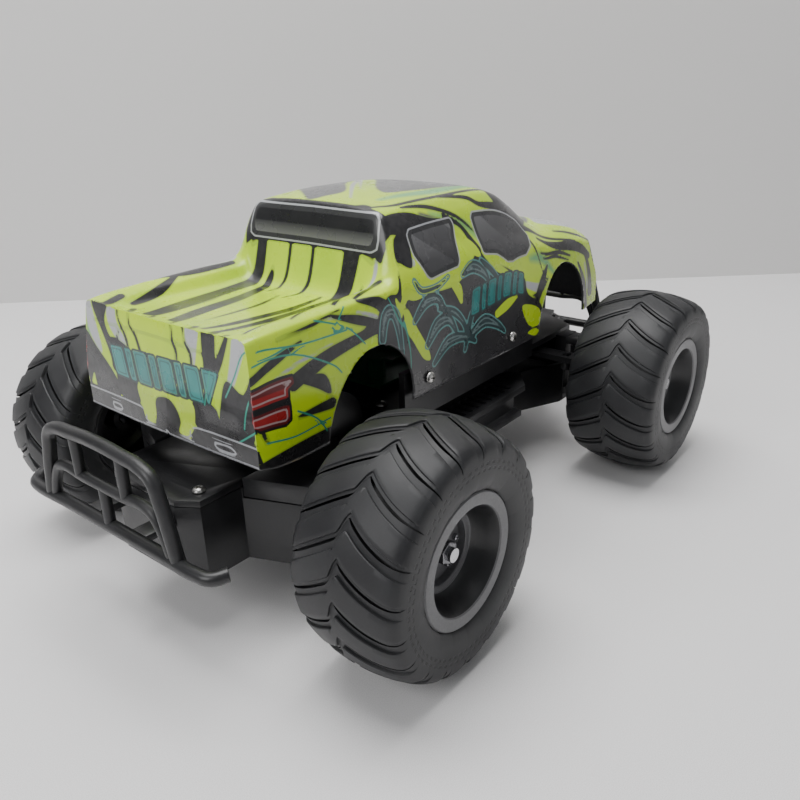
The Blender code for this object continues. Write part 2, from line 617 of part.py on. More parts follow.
DECK_SCREWS = [(x, y) for x in (-0.041, 0.040) for y in (0.0300, -0.0300)]
for index, (x, y) in enumerate(DECK_SCREWS):
    combine(chassis_deck, "DIFFERENCE", [rod_mesh((x, y, DECK_TOP), "z",
                                                  SCREW_RADIUS + BORE_CLEARANCE, 0.02, 12)])
    post_half = 0.0026
    combine(chassis_tub, "UNION", [box_mesh((x - post_half, y - post_half, CHASSIS_FLOOR + 0.001),
                                            (x + post_half, y + post_half, TUB_TOP - 0.0002))])
    combine(chassis_tub, "DIFFERENCE", [rod_mesh((x, y, TUB_TOP), "z",
                                                 SCREW_RADIUS + BORE_CLEARANCE, 0.016, 12)])


def screw_mesh(head_centre, direction, length):
    """A pan-head screw: a domed head above head_centre and a plain shank below it."""
    crown = 0.0015
    head = SCREW_HEAD_RADIUS
    profile = [(0, crown), (head * 0.55, crown * 0.85), (head * 0.9, crown * 0.45), (head, 0),
               (SCREW_RADIUS, 0), (SCREW_RADIUS, -length), (0, -length)]
    mesh = turned_mesh(profile, (0, 0, 0), "z", 12)
    place = Vector((0, 0, 1)).rotation_difference(Vector(direction)).to_matrix().to_4x4()
    mesh.transform(Matrix.Translation(head_centre) @ place)
    return mesh


for index, (x, y) in enumerate(DECK_SCREWS):
    add("deck_screw_%d" % (index + 1), screw_mesh((x, y, DECK_TOP + GAP), (0, 0, 1), 0.009), METAL)
for side_name, side in (("left", 1), ("right", -1)):
    head = (COVER_SCREW_X, side * COVER_SCREW_Y, REAR_BOX_TOP + GAP)
    add("rear_cover_screw_" + side_name, screw_mesh(head, (0, 0, 1), 0.008), METAL)

# ---------------------------------------------------------------- body shell
# Half sections from the centre line out to the lower edge: bed floor or roof, rail or roof
# edge, belt line, flank. Each station is (x, [(y, z) ...]) in millimetres.
FLANK = [(48.2, 104), (49.9, 90), (50.3, 73.5)]
STATIONS = [
    (-122.0, [(0, 117.6), (14, 117.7), (26, 117.9), (33, 118.2), (38, 118.5), (41.8, 118.6),
              (44.9, 117.4), (47.4, 104), (48.8, 90), (49.2, 76)]),
    (-116.0, [(0, 115.2), (14, 115.2), (26, 115.4), (32.5, 116.2), (37.6, 118.9), (41.8, 119.3),
              (45.4, 118.2), (47.9, 104), (49.5, 90), (49.9, 74)]),
    (-105.0, [(0, 113.8), (14, 113.8), (26, 114.0), (32.5, 114.8), (37.4, 118.8), (41.9, 119.8),
              (45.7, 118.6)] + FLANK),
    (-88.0, [(0, 113.0), (14, 113.0), (26, 113.2), (32.5, 114.1), (37.4, 118.8), (42.0, 120.2),
             (45.9, 118.9)] + FLANK),
    (-70.0, [(0, 112.4), (14, 112.4), (26, 112.7), (32.4, 113.9), (37.2, 119.0), (42.0, 120.4),
             (46.1, 119.1)] + FLANK),
    (-57.0, [(0, 112.4), (14, 112.4), (26, 112.7), (32.0, 114.2), (36.8, 119.2), (41.8, 120.6),
             (46.3, 119.3)] + FLANK),
    (-52.0, [(0, 115.0), (14, 115.0), (26, 115.2), (32.0, 116.6), (36.8, 120.4), (41.8, 121.2),
             (46.3, 119.4)] + FLANK),
    (-48.2, [(0, 126.0), (14, 126.0), (26, 126.0), (33.5, 126.0), (38.4, 126.0), (42.6, 123.6),
             (46.4, 119.5)] + FLANK),
    (-45.2, [(0, 140.4), (14, 140.3), (26, 140.0), (33.2, 139.2), (38.8, 135.4), (42.6, 128.5),
             (46.5, 119.6)] + FLANK),
    (-42.0, [(0, 147.2), (14, 147.0), (26, 146.2), (33.2, 145.0), (38.4, 140.0), (42.2, 130.5),
             (46.5, 119.7)] + FLANK),
    (-34.0, [(0, 148.8), (14, 148.4), (26, 147.4), (33.5, 145.8), (38.3, 140.8), (42.1, 131.0),
             (46.6, 119.8)] + FLANK),
    (-15.0, [(0, 150.0), (14, 149.6), (26, 148.4), (33.6, 146.6), (38.3, 141.2), (42.1, 131.0),
             (46.7, 119.8)] + FLANK),
    (8.0, [(0, 149.4), (14, 149.1), (26, 148.0), (33.6, 146.5), (38.3, 141.0), (42.1, 130.8),
           (46.8, 119.4)] + FLANK),
    (25.0, [(0, 147.8), (14, 147.6), (26, 146.9), (33.7, 145.6), (38.4, 139.8), (42.1, 129.6),
            (46.8, 118.6)] + FLANK),
    (36.0, [(0, 145.2), (14, 145.0), (26, 144.4), (33.8, 143.0), (38.6, 137.2), (42.3, 127.6),
            (46.8, 117.8)] + FLANK),
    (48.0, [(0, 139.8), (14, 139.5), (26, 138.6), (34.2, 136.8), (39.0, 131.6), (42.9, 124.0),
            (46.7, 116.8)] + FLANK),
    (60.0, [(0, 133.2), (14, 132.8), (26, 131.6), (34.6, 129.2), (39.4, 125.2), (43.6, 120.2),
            (46.6, 115.6)] + FLANK),
    (70.0, [(0, 127.2), (14, 126.8), (26, 125.6), (34.8, 123.6), (39.8, 121.0), (43.8, 117.8),
            (46.5, 114.6)] + FLANK),
    (78.0, [(0, 124.6), (14, 124.3), (26, 123.5), (34.8, 122.0), (39.9, 119.8), (43.8, 116.8),
            (46.4, 113.8)] + FLANK),
    (92.0, [(0, 122.8), (14, 122.6), (26, 122.1), (34.8, 120.9), (39.9, 118.7), (43.8, 115.8),
            (46.3, 112.8)] + FLANK),
    (105.0, [(0, 120.4), (14, 120.2), (26, 119.7), (34.8, 118.6), (39.9, 116.4), (43.7, 113.8),
             (46.2, 111.2), (48.0, 102), (49.5, 89), (49.8, 74.5)]),
    (115.0, [(0, 117.0), (14, 116.8), (26, 116.2), (34.8, 115.0), (39.7, 113.2), (43.3, 111.2),
             (45.8, 109.0), (47.2, 99), (48.4, 87.5), (48.8, 76)]),
]
# How far the tail and the nose bulge past their end stations at the rows of the flank.
TAIL_ROWS = [(0.0, 0.0), (-1.2, 0.9), (-2.4, 0.9), (-2.5, 0.9)]
NOSE_ROWS = [(0.0, 5.5), (3.5, 8.0), (7.0, 6.5), (6.5, 6.0)]


def shell_outline_mesh():
    """The open outer surface of the shell, as quads on both sides of the centre plane."""
    widen = BODY_HALF * 1000 / 50.5
    belt = 6

    def station_row(station):
        x, points = station
        return [Vector((x, y * widen, z)) for y, z in points]

    def bow(row, amount):
        edge = row[belt].y
        for point in row[:belt + 1]:
            point.x += amount * (1 - (point.y / edge) ** 2)
        return row

    rows = [station_row(station) for station in STATIONS]
    tail, nose = rows[0], rows[-1]
    for offset, row, table in ((-1, tail, TAIL_ROWS), (1, nose, NOSE_ROWS)):
        for step, (shift, _) in enumerate(table):
            row[belt + step].x += shift
    bow(nose, NOSE_ROWS[0][1])
    bow(rows[-2], NOSE_ROWS[0][1] * 0.45)
    bow(rows[-3], NOSE_ROWS[0][1] * 0.12)

    def end_rows(row, table, sign):
        made = [row[:belt + 1]]
        for step, (_, bulge) in enumerate(table[1:], start=1):
            corner = row[belt + step]
            line = []
            for point in row[:belt + 1]:
                share = point.y / row[belt].y
                place = Vector((corner.x, corner.y * share, corner.z))
                place.x += sign * bulge * (1 - share ** 2)
                line.append(place)
            made.append(line)
        return made

    sheets = [rows, end_rows(tail, TAIL_ROWS, -1), end_rows(nose, NOSE_ROWS, 1)]
    bm = bmesh.new()
    for sheet in sheets:
        for side in (1, -1):
            grid = [[bm.verts.new((p.x / 1000, side * p.y / 1000, p.z / 1000)) for p in row]
                    for row in sheet]
            for upper, lower in zip(grid, grid[1:]):
                for i in range(len(upper) - 1):
                    bm.faces.new((upper[i], upper[i + 1], lower[i + 1], lower[i]))
    bmesh.ops.remove_doubles(bm, verts=bm.verts, dist=1e-5)
    bmesh.ops.recalc_face_normals(bm, faces=bm.faces)
    top = max(bm.faces, key=lambda face: face.calc_center_median().z)
    if top.normal.z < 0:
        bmesh.ops.reverse_faces(bm, faces=bm.faces)
    mesh = bpy.data.meshes.new("shell")
    bm.to_mesh(mesh)
    bm.free()
    return mesh


def arch_outline(centre_x, half_length, height, lean, base):
    """A wheel arch as an arc leaning forward, closed below the shell's edge."""
    points = []
    for step in range(13):
        angle = math.pi * step / 12
        points.append((centre_x - half_length * math.cos(angle) + lean * math.sin(angle),
                       base + height * math.sin(angle)))
    return points + [(centre_x + half_length, base - 0.03), (centre_x - half_length, base - 0.03)]


body_shell = add("body_shell", shell_outline_mesh(), SHELL)
wall = body_shell.modifiers.new("wall", "SOLIDIFY")
wall.thickness = SHELL_THICKNESS
wall.offset = -1.0
wall.use_even_offset = True
wall.thickness_clamp = 1.0
ARCH_BASE = 0.073
combine(body_shell, "DIFFERENCE", [
    side_plate_mesh(arch_outline(-AXLE_X + 0.024, 0.0245, 0.0285, 0.004, ARCH_BASE), -FAR, FAR),
    side_plate_mesh(arch_outline(AXLE_X - 0.012, 0.0245, 0.0315, 0.002, ARCH_BASE), -FAR, FAR)])
combine(body_shell, "DIFFERENCE", [rod_mesh((x, 0, SCREW_Z), "y", SCREW_RADIUS + BORE_CLEARANCE,
                                            FAR, 12) for x in SCREW_X])
for side_name, side in (("left", 1), ("right", -1)):
    for end_name, x in (("rear", SCREW_X[0]), ("front", SCREW_X[1])):
        head = (x, side * (BODY_HALF + GAP), SCREW_Z)
        add("body_screw_%s_%s" % (end_name, side_name), screw_mesh(head, (0, side, 0), 0.008), METAL)

# ---------------------------------------------------------------- battery, board and switch
pack_low = (BATTERY[0][0], BATTERY[0][1], FLOOR_TOP + 0.001)
pack_high = (BATTERY[1][0], BATTERY[1][1], 0.052)
battery_pack = add("battery_pack", box_mesh(pack_low, pack_high), CELL)
rounding = battery_pack.modifiers.new("round", "BEVEL")
rounding.width = 0.004
rounding.segments = 2

door = add("battery_door", box_mesh(
    (BATTERY[0][0] - DOOR_MARGIN + GAP, BATTERY[0][1] - DOOR_MARGIN + GAP, CHASSIS_FLOOR),
    (BATTERY[1][0] + DOOR_MARGIN - GAP, BATTERY[1][1] + DOOR_MARGIN - GAP, FLOOR_TOP)), PLASTIC)
pull = [box_mesh((-0.032 + 0.004 * i, -0.008, CHASSIS_FLOOR - 0.001),
                 (-0.0305 + 0.004 * i, 0.008, CHASSIS_FLOOR + 0.0006)) for i in range(4)]
combine(door, "DIFFERENCE", pull)

BOARD_TOP = DECK_TOP + 0.0026
circuit_board = add("circuit_board", box_mesh((-0.030, -0.020, DECK_TOP + 0.0010),
                                              (0.022, 0.020, BOARD_TOP)), BOARD)
combine(circuit_board, "UNION", [
    rod_mesh((-0.020, -0.010, BOARD_TOP + 0.0045), "z", 0.004, 0.0092, 14),
    box_mesh((-0.004, -0.006, BOARD_TOP - 0.0002), (0.008, 0.006, BOARD_TOP + 0.0016)),
    box_mesh((0.012, -0.016, BOARD_TOP - 0.0002), (0.019, 0.016, BOARD_TOP + 0.0060))])

power_switch = add("power_switch", box_mesh(
    (SWITCH_X - SWITCH_SIZE[0] / 2, -SWITCH_SIZE[1] / 2, CHASSIS_FLOOR - 0.0012),
    (SWITCH_X + SWITCH_SIZE[0] / 2, SWITCH_SIZE[1] / 2, FLOOR_TOP + 0.002)), PLASTIC)
ridge_x = SWITCH_X - SWITCH_SIZE[0] / 2
combine(power_switch, "DIFFERENCE", [
    box_mesh((ridge_x + 0.0010 * (2 * i - 1) + 0.0007, -FAR, 0),
             (ridge_x + 0.0010 * 2 * i + 0.0003, FAR, CHASSIS_FLOOR - 0.0006)) for i in (1, 2)])

# ---------------------------------------------------------------- steering
SERVO_X = AXLE_X - 2 * STEER_ARM
TIE_ROD_X = AXLE_X - STEER_ARM
SERVO_TOP = 0.0520
HORN = (0.0523, 0.0555)
ARM = (0.0518, 0.0558)
TIE_ROD = (0.0563, 0.0593)
PIN_RADIUS = 0.0013
PIN_TOP = 0.0605

steering_servo = add("steering_servo", box_mesh((SERVO_X - 0.014, -0.008, FLOOR_TOP + GAP),
                                                (SERVO_X + 0.009, 0.008, SERVO_TOP - 0.004)),
                     PLASTIC)
combine(steering_servo, "UNION", [
    box_mesh((SERVO_X - 0.019, -0.008, SERVO_TOP - 0.010), (SERVO_X + 0.014, 0.008, SERVO_TOP - 0.008)),
    rod_mesh((SERVO_X, 0, SERVO_TOP - 0.003), "z", 0.005, 0.006 - 0.0001, 16)])


def lever(name, pivot, arm_end, levels, hub, width, bore):
    """A flat lever with a hub hole at its pivot and a pin standing on its far end."""
    outline = hull([(pivot[0], pivot[1], hub), (arm_end[0], arm_end[1], width)], 16)
    thing = add(name, plate_mesh(outline, *levels), PLASTIC)
    pin_height = PIN_TOP - levels[1] + 0.001
    combine(thing, "UNION", [rod_mesh((*arm_end, PIN_TOP - pin_height / 2), "z",
                                      PIN_RADIUS, pin_height, 12)])
    if bore:
        combine(thing, "DIFFERENCE", [rod_mesh((*pivot, levels[1]), "z", bore, 0.02, 14)])
    return thing


lever("servo_horn", (SERVO_X, 0), (TIE_ROD_X, 0), HORN, 0.0038, 0.0024, None)

slack = PIN_RADIUS + BORE_CLEARANCE + 0.0002
sweep = STEER_ARM * (1 - math.cos(STEER_LIMIT))
rod_half = KINGPIN_SPREAD + 0.005
ROD_SIDE = 0.0044
tie_rod = add("tie_rod", box_mesh((TIE_ROD_X - ROD_SIDE, -rod_half, TIE_ROD[0]),
                                  (TIE_ROD_X + ROD_SIDE, rod_half, TIE_ROD[1])), PLASTIC)
slots = [box_mesh((TIE_ROD_X - slack, s * KINGPIN_SPREAD - slack, 0),
                  (TIE_ROD_X + slack + sweep, s * KINGPIN_SPREAD + slack, FAR)) for s in (1, -1)]
slots.append(box_mesh((TIE_ROD_X - slack - sweep, -slack, 0), (TIE_ROD_X + slack, slack, FAR)))
combine(tie_rod, "DIFFERENCE", slots)

KNUCKLE = (0.0359, 0.0601)
for side_name, side in (("left", 1), ("right", -1)):
    pivot = (AXLE_X, side * KINGPIN_SPREAD)
    knuckle = lever("knuckle_" + side_name, pivot, (TIE_ROD_X, side * KINGPIN_SPREAD), ARM,
                    0.0034, 0.0026, None)
    boss = sorted((side * (KINGPIN_SPREAD + 0.003), side * (KINGPIN_SPREAD + 0.009)))
    combine(knuckle, "UNION", [
        box_mesh((AXLE_X - 0.0055, pivot[1] - 0.0043, KNUCKLE[0]),
                 (AXLE_X + 0.0055, pivot[1] + 0.0043, KNUCKLE[1])),
        rod_mesh((AXLE_X, sum(boss) / 2, AXLE_Z), "y", 0.0050, boss[1] - boss[0], 16)])
    stub_start = KINGPIN_SPREAD + 0.0032
    combine(knuckle, "DIFFERENCE", [
        rod_mesh((*pivot, AXLE_Z), "z", KINGPIN_RADIUS + BORE_CLEARANCE, 0.04, 14),
        rod_mesh((AXLE_X, side * (stub_start + 0.01), AXLE_Z), "y",
                 AXLE_RADIUS + BORE_CLEARANCE, 0.02, 16)])
    stub = (stub_start + GAP, AXLE_END)
    add("stub_axle_" + side_name, rod_mesh((AXLE_X, side * sum(stub) / 2, AXLE_Z), "y",
                                           AXLE_RADIUS, stub[1] - stub[0], 20), METAL)
    kingpin = [(0, UPPER_ARM[1] + 0.0020), (0.0020, UPPER_ARM[1] + 0.0020),
               (0.0027, UPPER_ARM[1] + GAP), (KINGPIN_RADIUS, UPPER_ARM[1] + GAP),
               (KINGPIN_RADIUS, LOWER_ARM[0] - 0.001), (0, LOWER_ARM[0] - 0.001)]
    add("kingpin_" + side_name, turned_mesh(kingpin, (*pivot, 0), "z", 14), METAL)

# ---------------------------------------------------------------- side steps
STEP_TOP = 0.053
STEP_THICKNESS = 0.003
GROOVE_PITCH = 0.0055
for side_name, side in (("left", 1), ("right", -1)):
    inner = TUB_HALF + GAP
    outline = [(-MID_REAR + 0.014, inner), (-0.040, STEP_HALF), (0.040, STEP_HALF),
               (0.0555, 0.0405), (MID_FRONT, inner)]
    step = add("side_step_" + side_name,
               plate_mesh([(x, side * y) for x, y in outline], STEP_TOP - STEP_THICKNESS, STEP_TOP),
               PLASTIC)
    lip = sorted((side * (STEP_HALF - 0.0025), side * (STEP_HALF + 0.0035)))
    web = sorted((side * (STEP_HALF - 0.0022), side * (STEP_HALF - 0.0003)))
    foot = sorted((side * (inner + 0.0002), side * (inner + 0.003)))
    combine(step, "UNION", [
        box_mesh((-0.034, lip[0], STEP_TOP - 0.012), (0.031, lip[1], STEP_TOP - 0.009)),
        box_mesh((-0.033, web[0], STEP_TOP - 0.0115), (0.030, web[1], STEP_TOP - 0.001)),
        box_mesh((-0.038, foot[0], STEP_TOP - 0.014), (0.034, foot[1], STEP_TOP - 0.001))])
    grooves = []
    for index in range(13):
        x = -0.036 + GROOVE_PITCH * index
        rib = sorted((side * (inner + 0.0045), side * (STEP_HALF - 0.0035)))
        grooves.append(box_mesh((x, rib[0], STEP_TOP - 0.0012), (x + 0.0030, rib[1], FAR)))
    combine(step, "DIFFERENCE", grooves)

# ---------------------------------------------------------------- bumpers
LOWER_BAR_Z = 0.051
HOOP_TOP_Z = 0.0807
HOOP_HALF = 0.0313
HOOP_FOOT = 0.0387
MID_BAR_Z = 0.0665
BAR_BEND = 0.052


def bumper(name, end):
    """A round-bar bumper: lower bar, arched hoop, inner frame, posts and two brackets."""
    reach = end * BUMPER_REACH

    def at(y, z, back=0.0):
        return (reach - end * back, y, z)

    lower = [at(-BAR_BEND - 0.0047, LOWER_BAR_Z + 0.0004, 0.0055), at(-BAR_BEND, LOWER_BAR_Z),
             at(0, LOWER_BAR_Z), at(BAR_BEND, LOWER_BAR_Z),
             at(BAR_BEND + 0.0047, LOWER_BAR_Z + 0.0004, 0.0055)]
    thing = add(name, tube_mesh(lower, BUMPER_BAR), PLASTIC)
    rise = 0.0028
    crown = [(HOOP_HALF * (i / 4), HOOP_TOP_Z + rise * (1 - (i / 4) ** 2)) for i in range(-3, 4)]
    hoop = [at(-HOOP_FOOT, LOWER_BAR_Z), at(-HOOP_HALF - 0.0012, HOOP_TOP_Z - 0.004),
            at(-HOOP_HALF + 0.002, HOOP_TOP_Z)]
    hoop += [at(y, z) for y, z in crown]
    hoop += [at(HOOP_HALF - 0.002, HOOP_TOP_Z), at(HOOP_HALF + 0.0012, HOOP_TOP_Z - 0.004),
             at(HOOP_FOOT, LOWER_BAR_Z)]
    frame = [at(-0.036, LOWER_BAR_Z), at(-0.029, MID_BAR_Z), at(0.029, MID_BAR_Z),
             at(0.036, LOWER_BAR_Z)]
    posts = [[at(y, MID_BAR_Z), at(y, HOOP_TOP_Z + 0.0018)] for y in (-0.014, 0.014)]
    posts.append([at(0, LOWER_BAR_Z), at(0, MID_BAR_Z)])
    thin = BUMPER_BAR * 0.8
    wall_x = REAR_BOX_END if end < 0 else NOSE_END
    brackets = []
    for y in (-0.014, 0.014):
        ends = sorted((end * (wall_x + GAP), reach))
        brackets.append(box_mesh((ends[0], y - 0.004, LOWER_BAR_Z - 0.0015),
                                 (ends[1], y + 0.004, LOWER_BAR_Z + 0.0015)))
    combine(thing, "UNION", [tube_mesh(hoop, BUMPER_BAR), tube_mesh(frame, thin)])
    combine(thing, "UNION", [tube_mesh(post, thin, sides=1) for post in posts] + brackets)
    return thing


bumper("rear_bumper", -1)
bumper("front_bumper", 1)

# ---------------------------------------------------------------- pivots and standing height
STEER_AXES = {"left": (AXLE_X, KINGPIN_SPREAD, AXLE_Z), "right": (AXLE_X, -KINGPIN_SPREAD, AXLE_Z)}
pivots = {
    "rear_axle": (-AXLE_X, 0, AXLE_Z),
    "axle_gear": (-AXLE_X, 0, AXLE_Z),
    "reduction_gear": (REDUCTION[0], 0, REDUCTION[1]),
    "motor_pinion": (MOTOR[0], 0, MOTOR[1]),
    "servo_horn": (SERVO_X, 0, HORN[0]),
    "tie_rod": (TIE_ROD_X, 0, TIE_ROD[0]),
    "power_switch": (SWITCH_X, 0, CHASSIS_FLOOR),
}
for side_name, side in (("left", 1), ("right", -1)):
    for piece in ("tyre", "rim"):
        pivots["rear_%s_%s" % (piece, side_name)] = (-AXLE_X, side * WHEEL_Y, AXLE_Z)
        pivots["front_%s_%s" % (piece, side_name)] = (AXLE_X, side * WHEEL_Y, AXLE_Z)
    pivots["rear_wheel_nut_" + side_name] = (-AXLE_X, side * WHEEL_Y, AXLE_Z)
    for piece in ("knuckle", "stub_axle", "front_wheel_nut"):
        pivots[piece + "_" + side_name] = STEER_AXES[side_name]
for name, pivot in pivots.items():
    piece = parts.objects[name]
    piece.data.transform(Matrix.Translation(-Vector(pivot)))
    piece.location = pivot

drop = AXLE_LINE - TYRE_DIAMETER / 2
for piece in list(parts.objects) + list(cutters.objects):
    piece.location.z -= drop
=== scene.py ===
# %% [markdown]
# # A toy pickup truck with big tyres
# The truck is a thin printed body over a black plastic chassis. The imported model gives every
# piece its place, so the first step loads it.

# %% Load the imported truck
import json
import math
import bpy
import numpy as np
from mathutils import Matrix, Vector

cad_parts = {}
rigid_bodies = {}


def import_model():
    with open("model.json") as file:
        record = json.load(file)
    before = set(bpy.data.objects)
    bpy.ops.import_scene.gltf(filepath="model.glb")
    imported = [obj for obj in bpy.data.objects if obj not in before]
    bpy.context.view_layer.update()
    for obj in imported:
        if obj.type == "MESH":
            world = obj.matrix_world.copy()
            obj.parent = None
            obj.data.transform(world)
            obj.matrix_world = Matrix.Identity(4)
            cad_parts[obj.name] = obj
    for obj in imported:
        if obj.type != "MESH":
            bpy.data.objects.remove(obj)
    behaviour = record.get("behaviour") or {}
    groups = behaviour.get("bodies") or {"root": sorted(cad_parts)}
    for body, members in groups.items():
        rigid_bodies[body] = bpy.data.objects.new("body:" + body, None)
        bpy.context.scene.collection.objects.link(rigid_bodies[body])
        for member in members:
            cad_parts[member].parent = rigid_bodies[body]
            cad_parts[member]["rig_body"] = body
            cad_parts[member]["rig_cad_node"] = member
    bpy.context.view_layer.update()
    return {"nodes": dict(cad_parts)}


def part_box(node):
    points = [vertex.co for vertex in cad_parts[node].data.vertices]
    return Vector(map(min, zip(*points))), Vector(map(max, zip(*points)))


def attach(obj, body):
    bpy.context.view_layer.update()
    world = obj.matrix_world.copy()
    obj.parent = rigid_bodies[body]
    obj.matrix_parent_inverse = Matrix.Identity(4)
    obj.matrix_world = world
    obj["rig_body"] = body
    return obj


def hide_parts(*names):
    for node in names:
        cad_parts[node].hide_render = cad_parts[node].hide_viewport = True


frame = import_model()
nodes = frame["nodes"]
MM = 0.001

# %% [markdown]
# ## Camera, floor and light
# The truck stands on a pale floor before a pale wall and is seen from behind its right rear
# wheel. Big soft lamps overhead leave wide, gentle highlights, as a bright room does. A small
# lamp would leave hard spots on the glossy body, so every lamp here is an area lamp.

# %% Selection helpers
def rest():
    """Leave edit mode and deselect everything."""
    if bpy.context.object and bpy.context.object.mode != "OBJECT":
        bpy.ops.object.mode_set(mode="OBJECT")
    bpy.ops.object.select_all(action="DESELECT")


def pick(piece):
    """Make one piece the active one and the only one selected."""
    rest()
    piece.select_set(True)
    bpy.context.view_layer.objects.active = piece

def add_object(name, data):
    """A new object in the scene that shows the data."""
    made = bpy.data.objects.new(name, data)
    bpy.context.scene.collection.objects.link(made)
    return made


# %% Camera
LENS, SENSOR = 34.4, 36.0                            # millimetres
CAMERA_PLACE = (-0.26547, -0.22394, 0.18875)
CAMERA_RIGHT = (0.62470, -0.78047, -0.02500)
CAMERA_UP = (0.31797, 0.22500, 0.92102)
rest()
camera_data = bpy.data.cameras.new("studio_camera")
camera = add_object("studio_camera", camera_data)
camera_data.sensor_width = SENSOR
camera_data.lens = LENS
camera_data.clip_start = 0.01
right = Vector(CAMERA_RIGHT).normalized()
upward = Vector(CAMERA_UP)
upward = (upward - right * upward.dot(right)).normalized()
backward = right.cross(upward)
camera.matrix_world = Matrix.Translation(CAMERA_PLACE) @ Matrix(
    (right, upward, backward)).transposed().to_4x4()
bpy.context.scene.camera = camera

# %% Node helpers
def add_node(tree, kind, links=None, **settings):
    """A shader node with its settings, and links given as input name or number to socket."""
    made = tree.nodes.new(kind)
    for key, value in settings.items():
        if key in made.inputs.keys() and not hasattr(type(made), key):
            made.inputs[key].default_value = value
        else:
            setattr(made, key, value)
    for key, socket in (links or {}).items():
        tree.links.new(socket, made.inputs[key])
    return made


def maths(tree, operation, first, second=None):
    """A Math node on sockets or plain numbers."""
    made = tree.nodes.new("ShaderNodeMath")
    made.operation = operation
    for index, value in enumerate((first, second)):
        if value is None:
            continue
        if isinstance(value, (int, float)):
            made.inputs[index].default_value = value
        else:
            tree.links.new(value, made.inputs[index])
    return made.outputs[0]


def blend_colours(tree, share, below, above):
    """Mixes two colours, each a socket or a tuple, by a share that is a socket."""
    made = tree.nodes.new("ShaderNodeMix")
    made.data_type = "RGBA"
    tree.links.new(share, made.inputs[0])
    for index, value in ((6, below), (7, above)):
        if isinstance(value, tuple):
            made.inputs[index].default_value = (*value, 1.0)
        else:
            tree.links.new(value, made.inputs[index])
    return made.outputs[2]


def spread(tree, value, low, high, to_low=0.0, to_high=1.0):
    """Map Range from low..high to to_low..to_high, clamped."""
    made = tree.nodes.new("ShaderNodeMapRange")
    tree.links.new(value, made.inputs[0])
    for index, number in zip((1, 2, 3, 4), (low, high, to_low, to_high)):
        made.inputs[index].default_value = number
    return made.outputs[0]


def new_group(name, inputs, outputs):
    """An empty node group with named sockets, and its input and output nodes."""
    tree = bpy.data.node_groups.new(name, "ShaderNodeTree")
    for label, kind, value in inputs:
        socket = tree.interface.new_socket(label, in_out="INPUT", socket_type=kind)
        socket.default_value = value
    for label, kind in outputs:
        tree.interface.new_socket(label, in_out="OUTPUT", socket_type=kind)
    return tree, tree.nodes.new("NodeGroupInput"), tree.nodes.new("NodeGroupOutput")


# %% [markdown]
# ## Shared effects
# Moulded plastic is never one even colour: it has a fine grain from the mould, soft cloudy
# patches where hands have polished it, and pale dust. One node group makes all three and each
# material places it with its own scale and colours. It could be painted as a picture, but a
# procedural pattern stays sharp at any distance.

# %% Moulded grain group
FLOAT, COLOUR = "NodeSocketFloat", "NodeSocketColor"
grain_tree, grain_in, grain_out = new_group(
    "moulded_grain",
    [("Tint", COLOUR, (0.03, 0.03, 0.03, 1)), ("Dust", COLOUR, (0.2, 0.2, 0.2, 1)),
     ("Dustiness", FLOAT, 0.1), ("Scale", FLOAT, 900.0), ("Roughness", FLOAT, 0.45),
     ("Unevenness", FLOAT, 0.12)],
    [("Color", COLOUR), ("Roughness", FLOAT), ("Height", FLOAT)])
place = grain_tree.nodes.new("ShaderNodeTexCoord").outputs["Object"]
fine = add_node(grain_tree, "ShaderNodeTexNoise", {"Vector": place,
                                                   "Scale": grain_in.outputs["Scale"]}, Detail=3.0)
cloud = add_node(grain_tree, "ShaderNodeTexNoise", {"Vector": place}, Scale=55.0, Detail=5.0)
specks = add_node(grain_tree, "ShaderNodeTexNoise", {"Vector": place}, Scale=2600.0, Detail=1.0)
cloudy = spread(grain_tree, cloud.outputs[0], 0.38, 0.68)
dusty = maths(grain_tree, "MULTIPLY", cloudy, grain_in.outputs["Dustiness"])
tone = spread(grain_tree, fine.outputs[0], 0.3, 0.7, 0.88, 1.12)
shade = grain_tree.nodes.new("ShaderNodeVectorMath")
shade.operation = "SCALE"
grain_tree.links.new(grain_in.outputs["Tint"], shade.inputs[0])
grain_tree.links.new(tone, shade.inputs["Scale"])
coloured = blend_colours(grain_tree, dusty, shade.outputs[0], grain_in.outputs["Dust"])
speck = maths(grain_tree, "MULTIPLY", spread(grain_tree, specks.outputs[0], 0.70, 0.78),
              grain_in.outputs["Dustiness"])
coloured = blend_colours(grain_tree, speck, coloured, grain_in.outputs["Dust"])
grain_tree.links.new(coloured, grain_out.inputs["Color"])
uneven = maths(grain_tree, "MULTIPLY", maths(grain_tree, "SUBTRACT", cloudy, 0.5),
               grain_in.outputs["Unevenness"])
grain_tree.links.new(maths(grain_tree, "ADD", grain_in.outputs["Roughness"], uneven),
                     grain_out.inputs["Roughness"])
grain_tree.links.new(fine.outputs[0], grain_out.inputs["Height"])
print("group:", grain_tree.name)

# %% Moulded material
def bare_material(name):
    made = bpy.data.materials.new(name)
    made.use_nodes = True
    return made, made.node_tree, made.node_tree.nodes["Principled BSDF"]


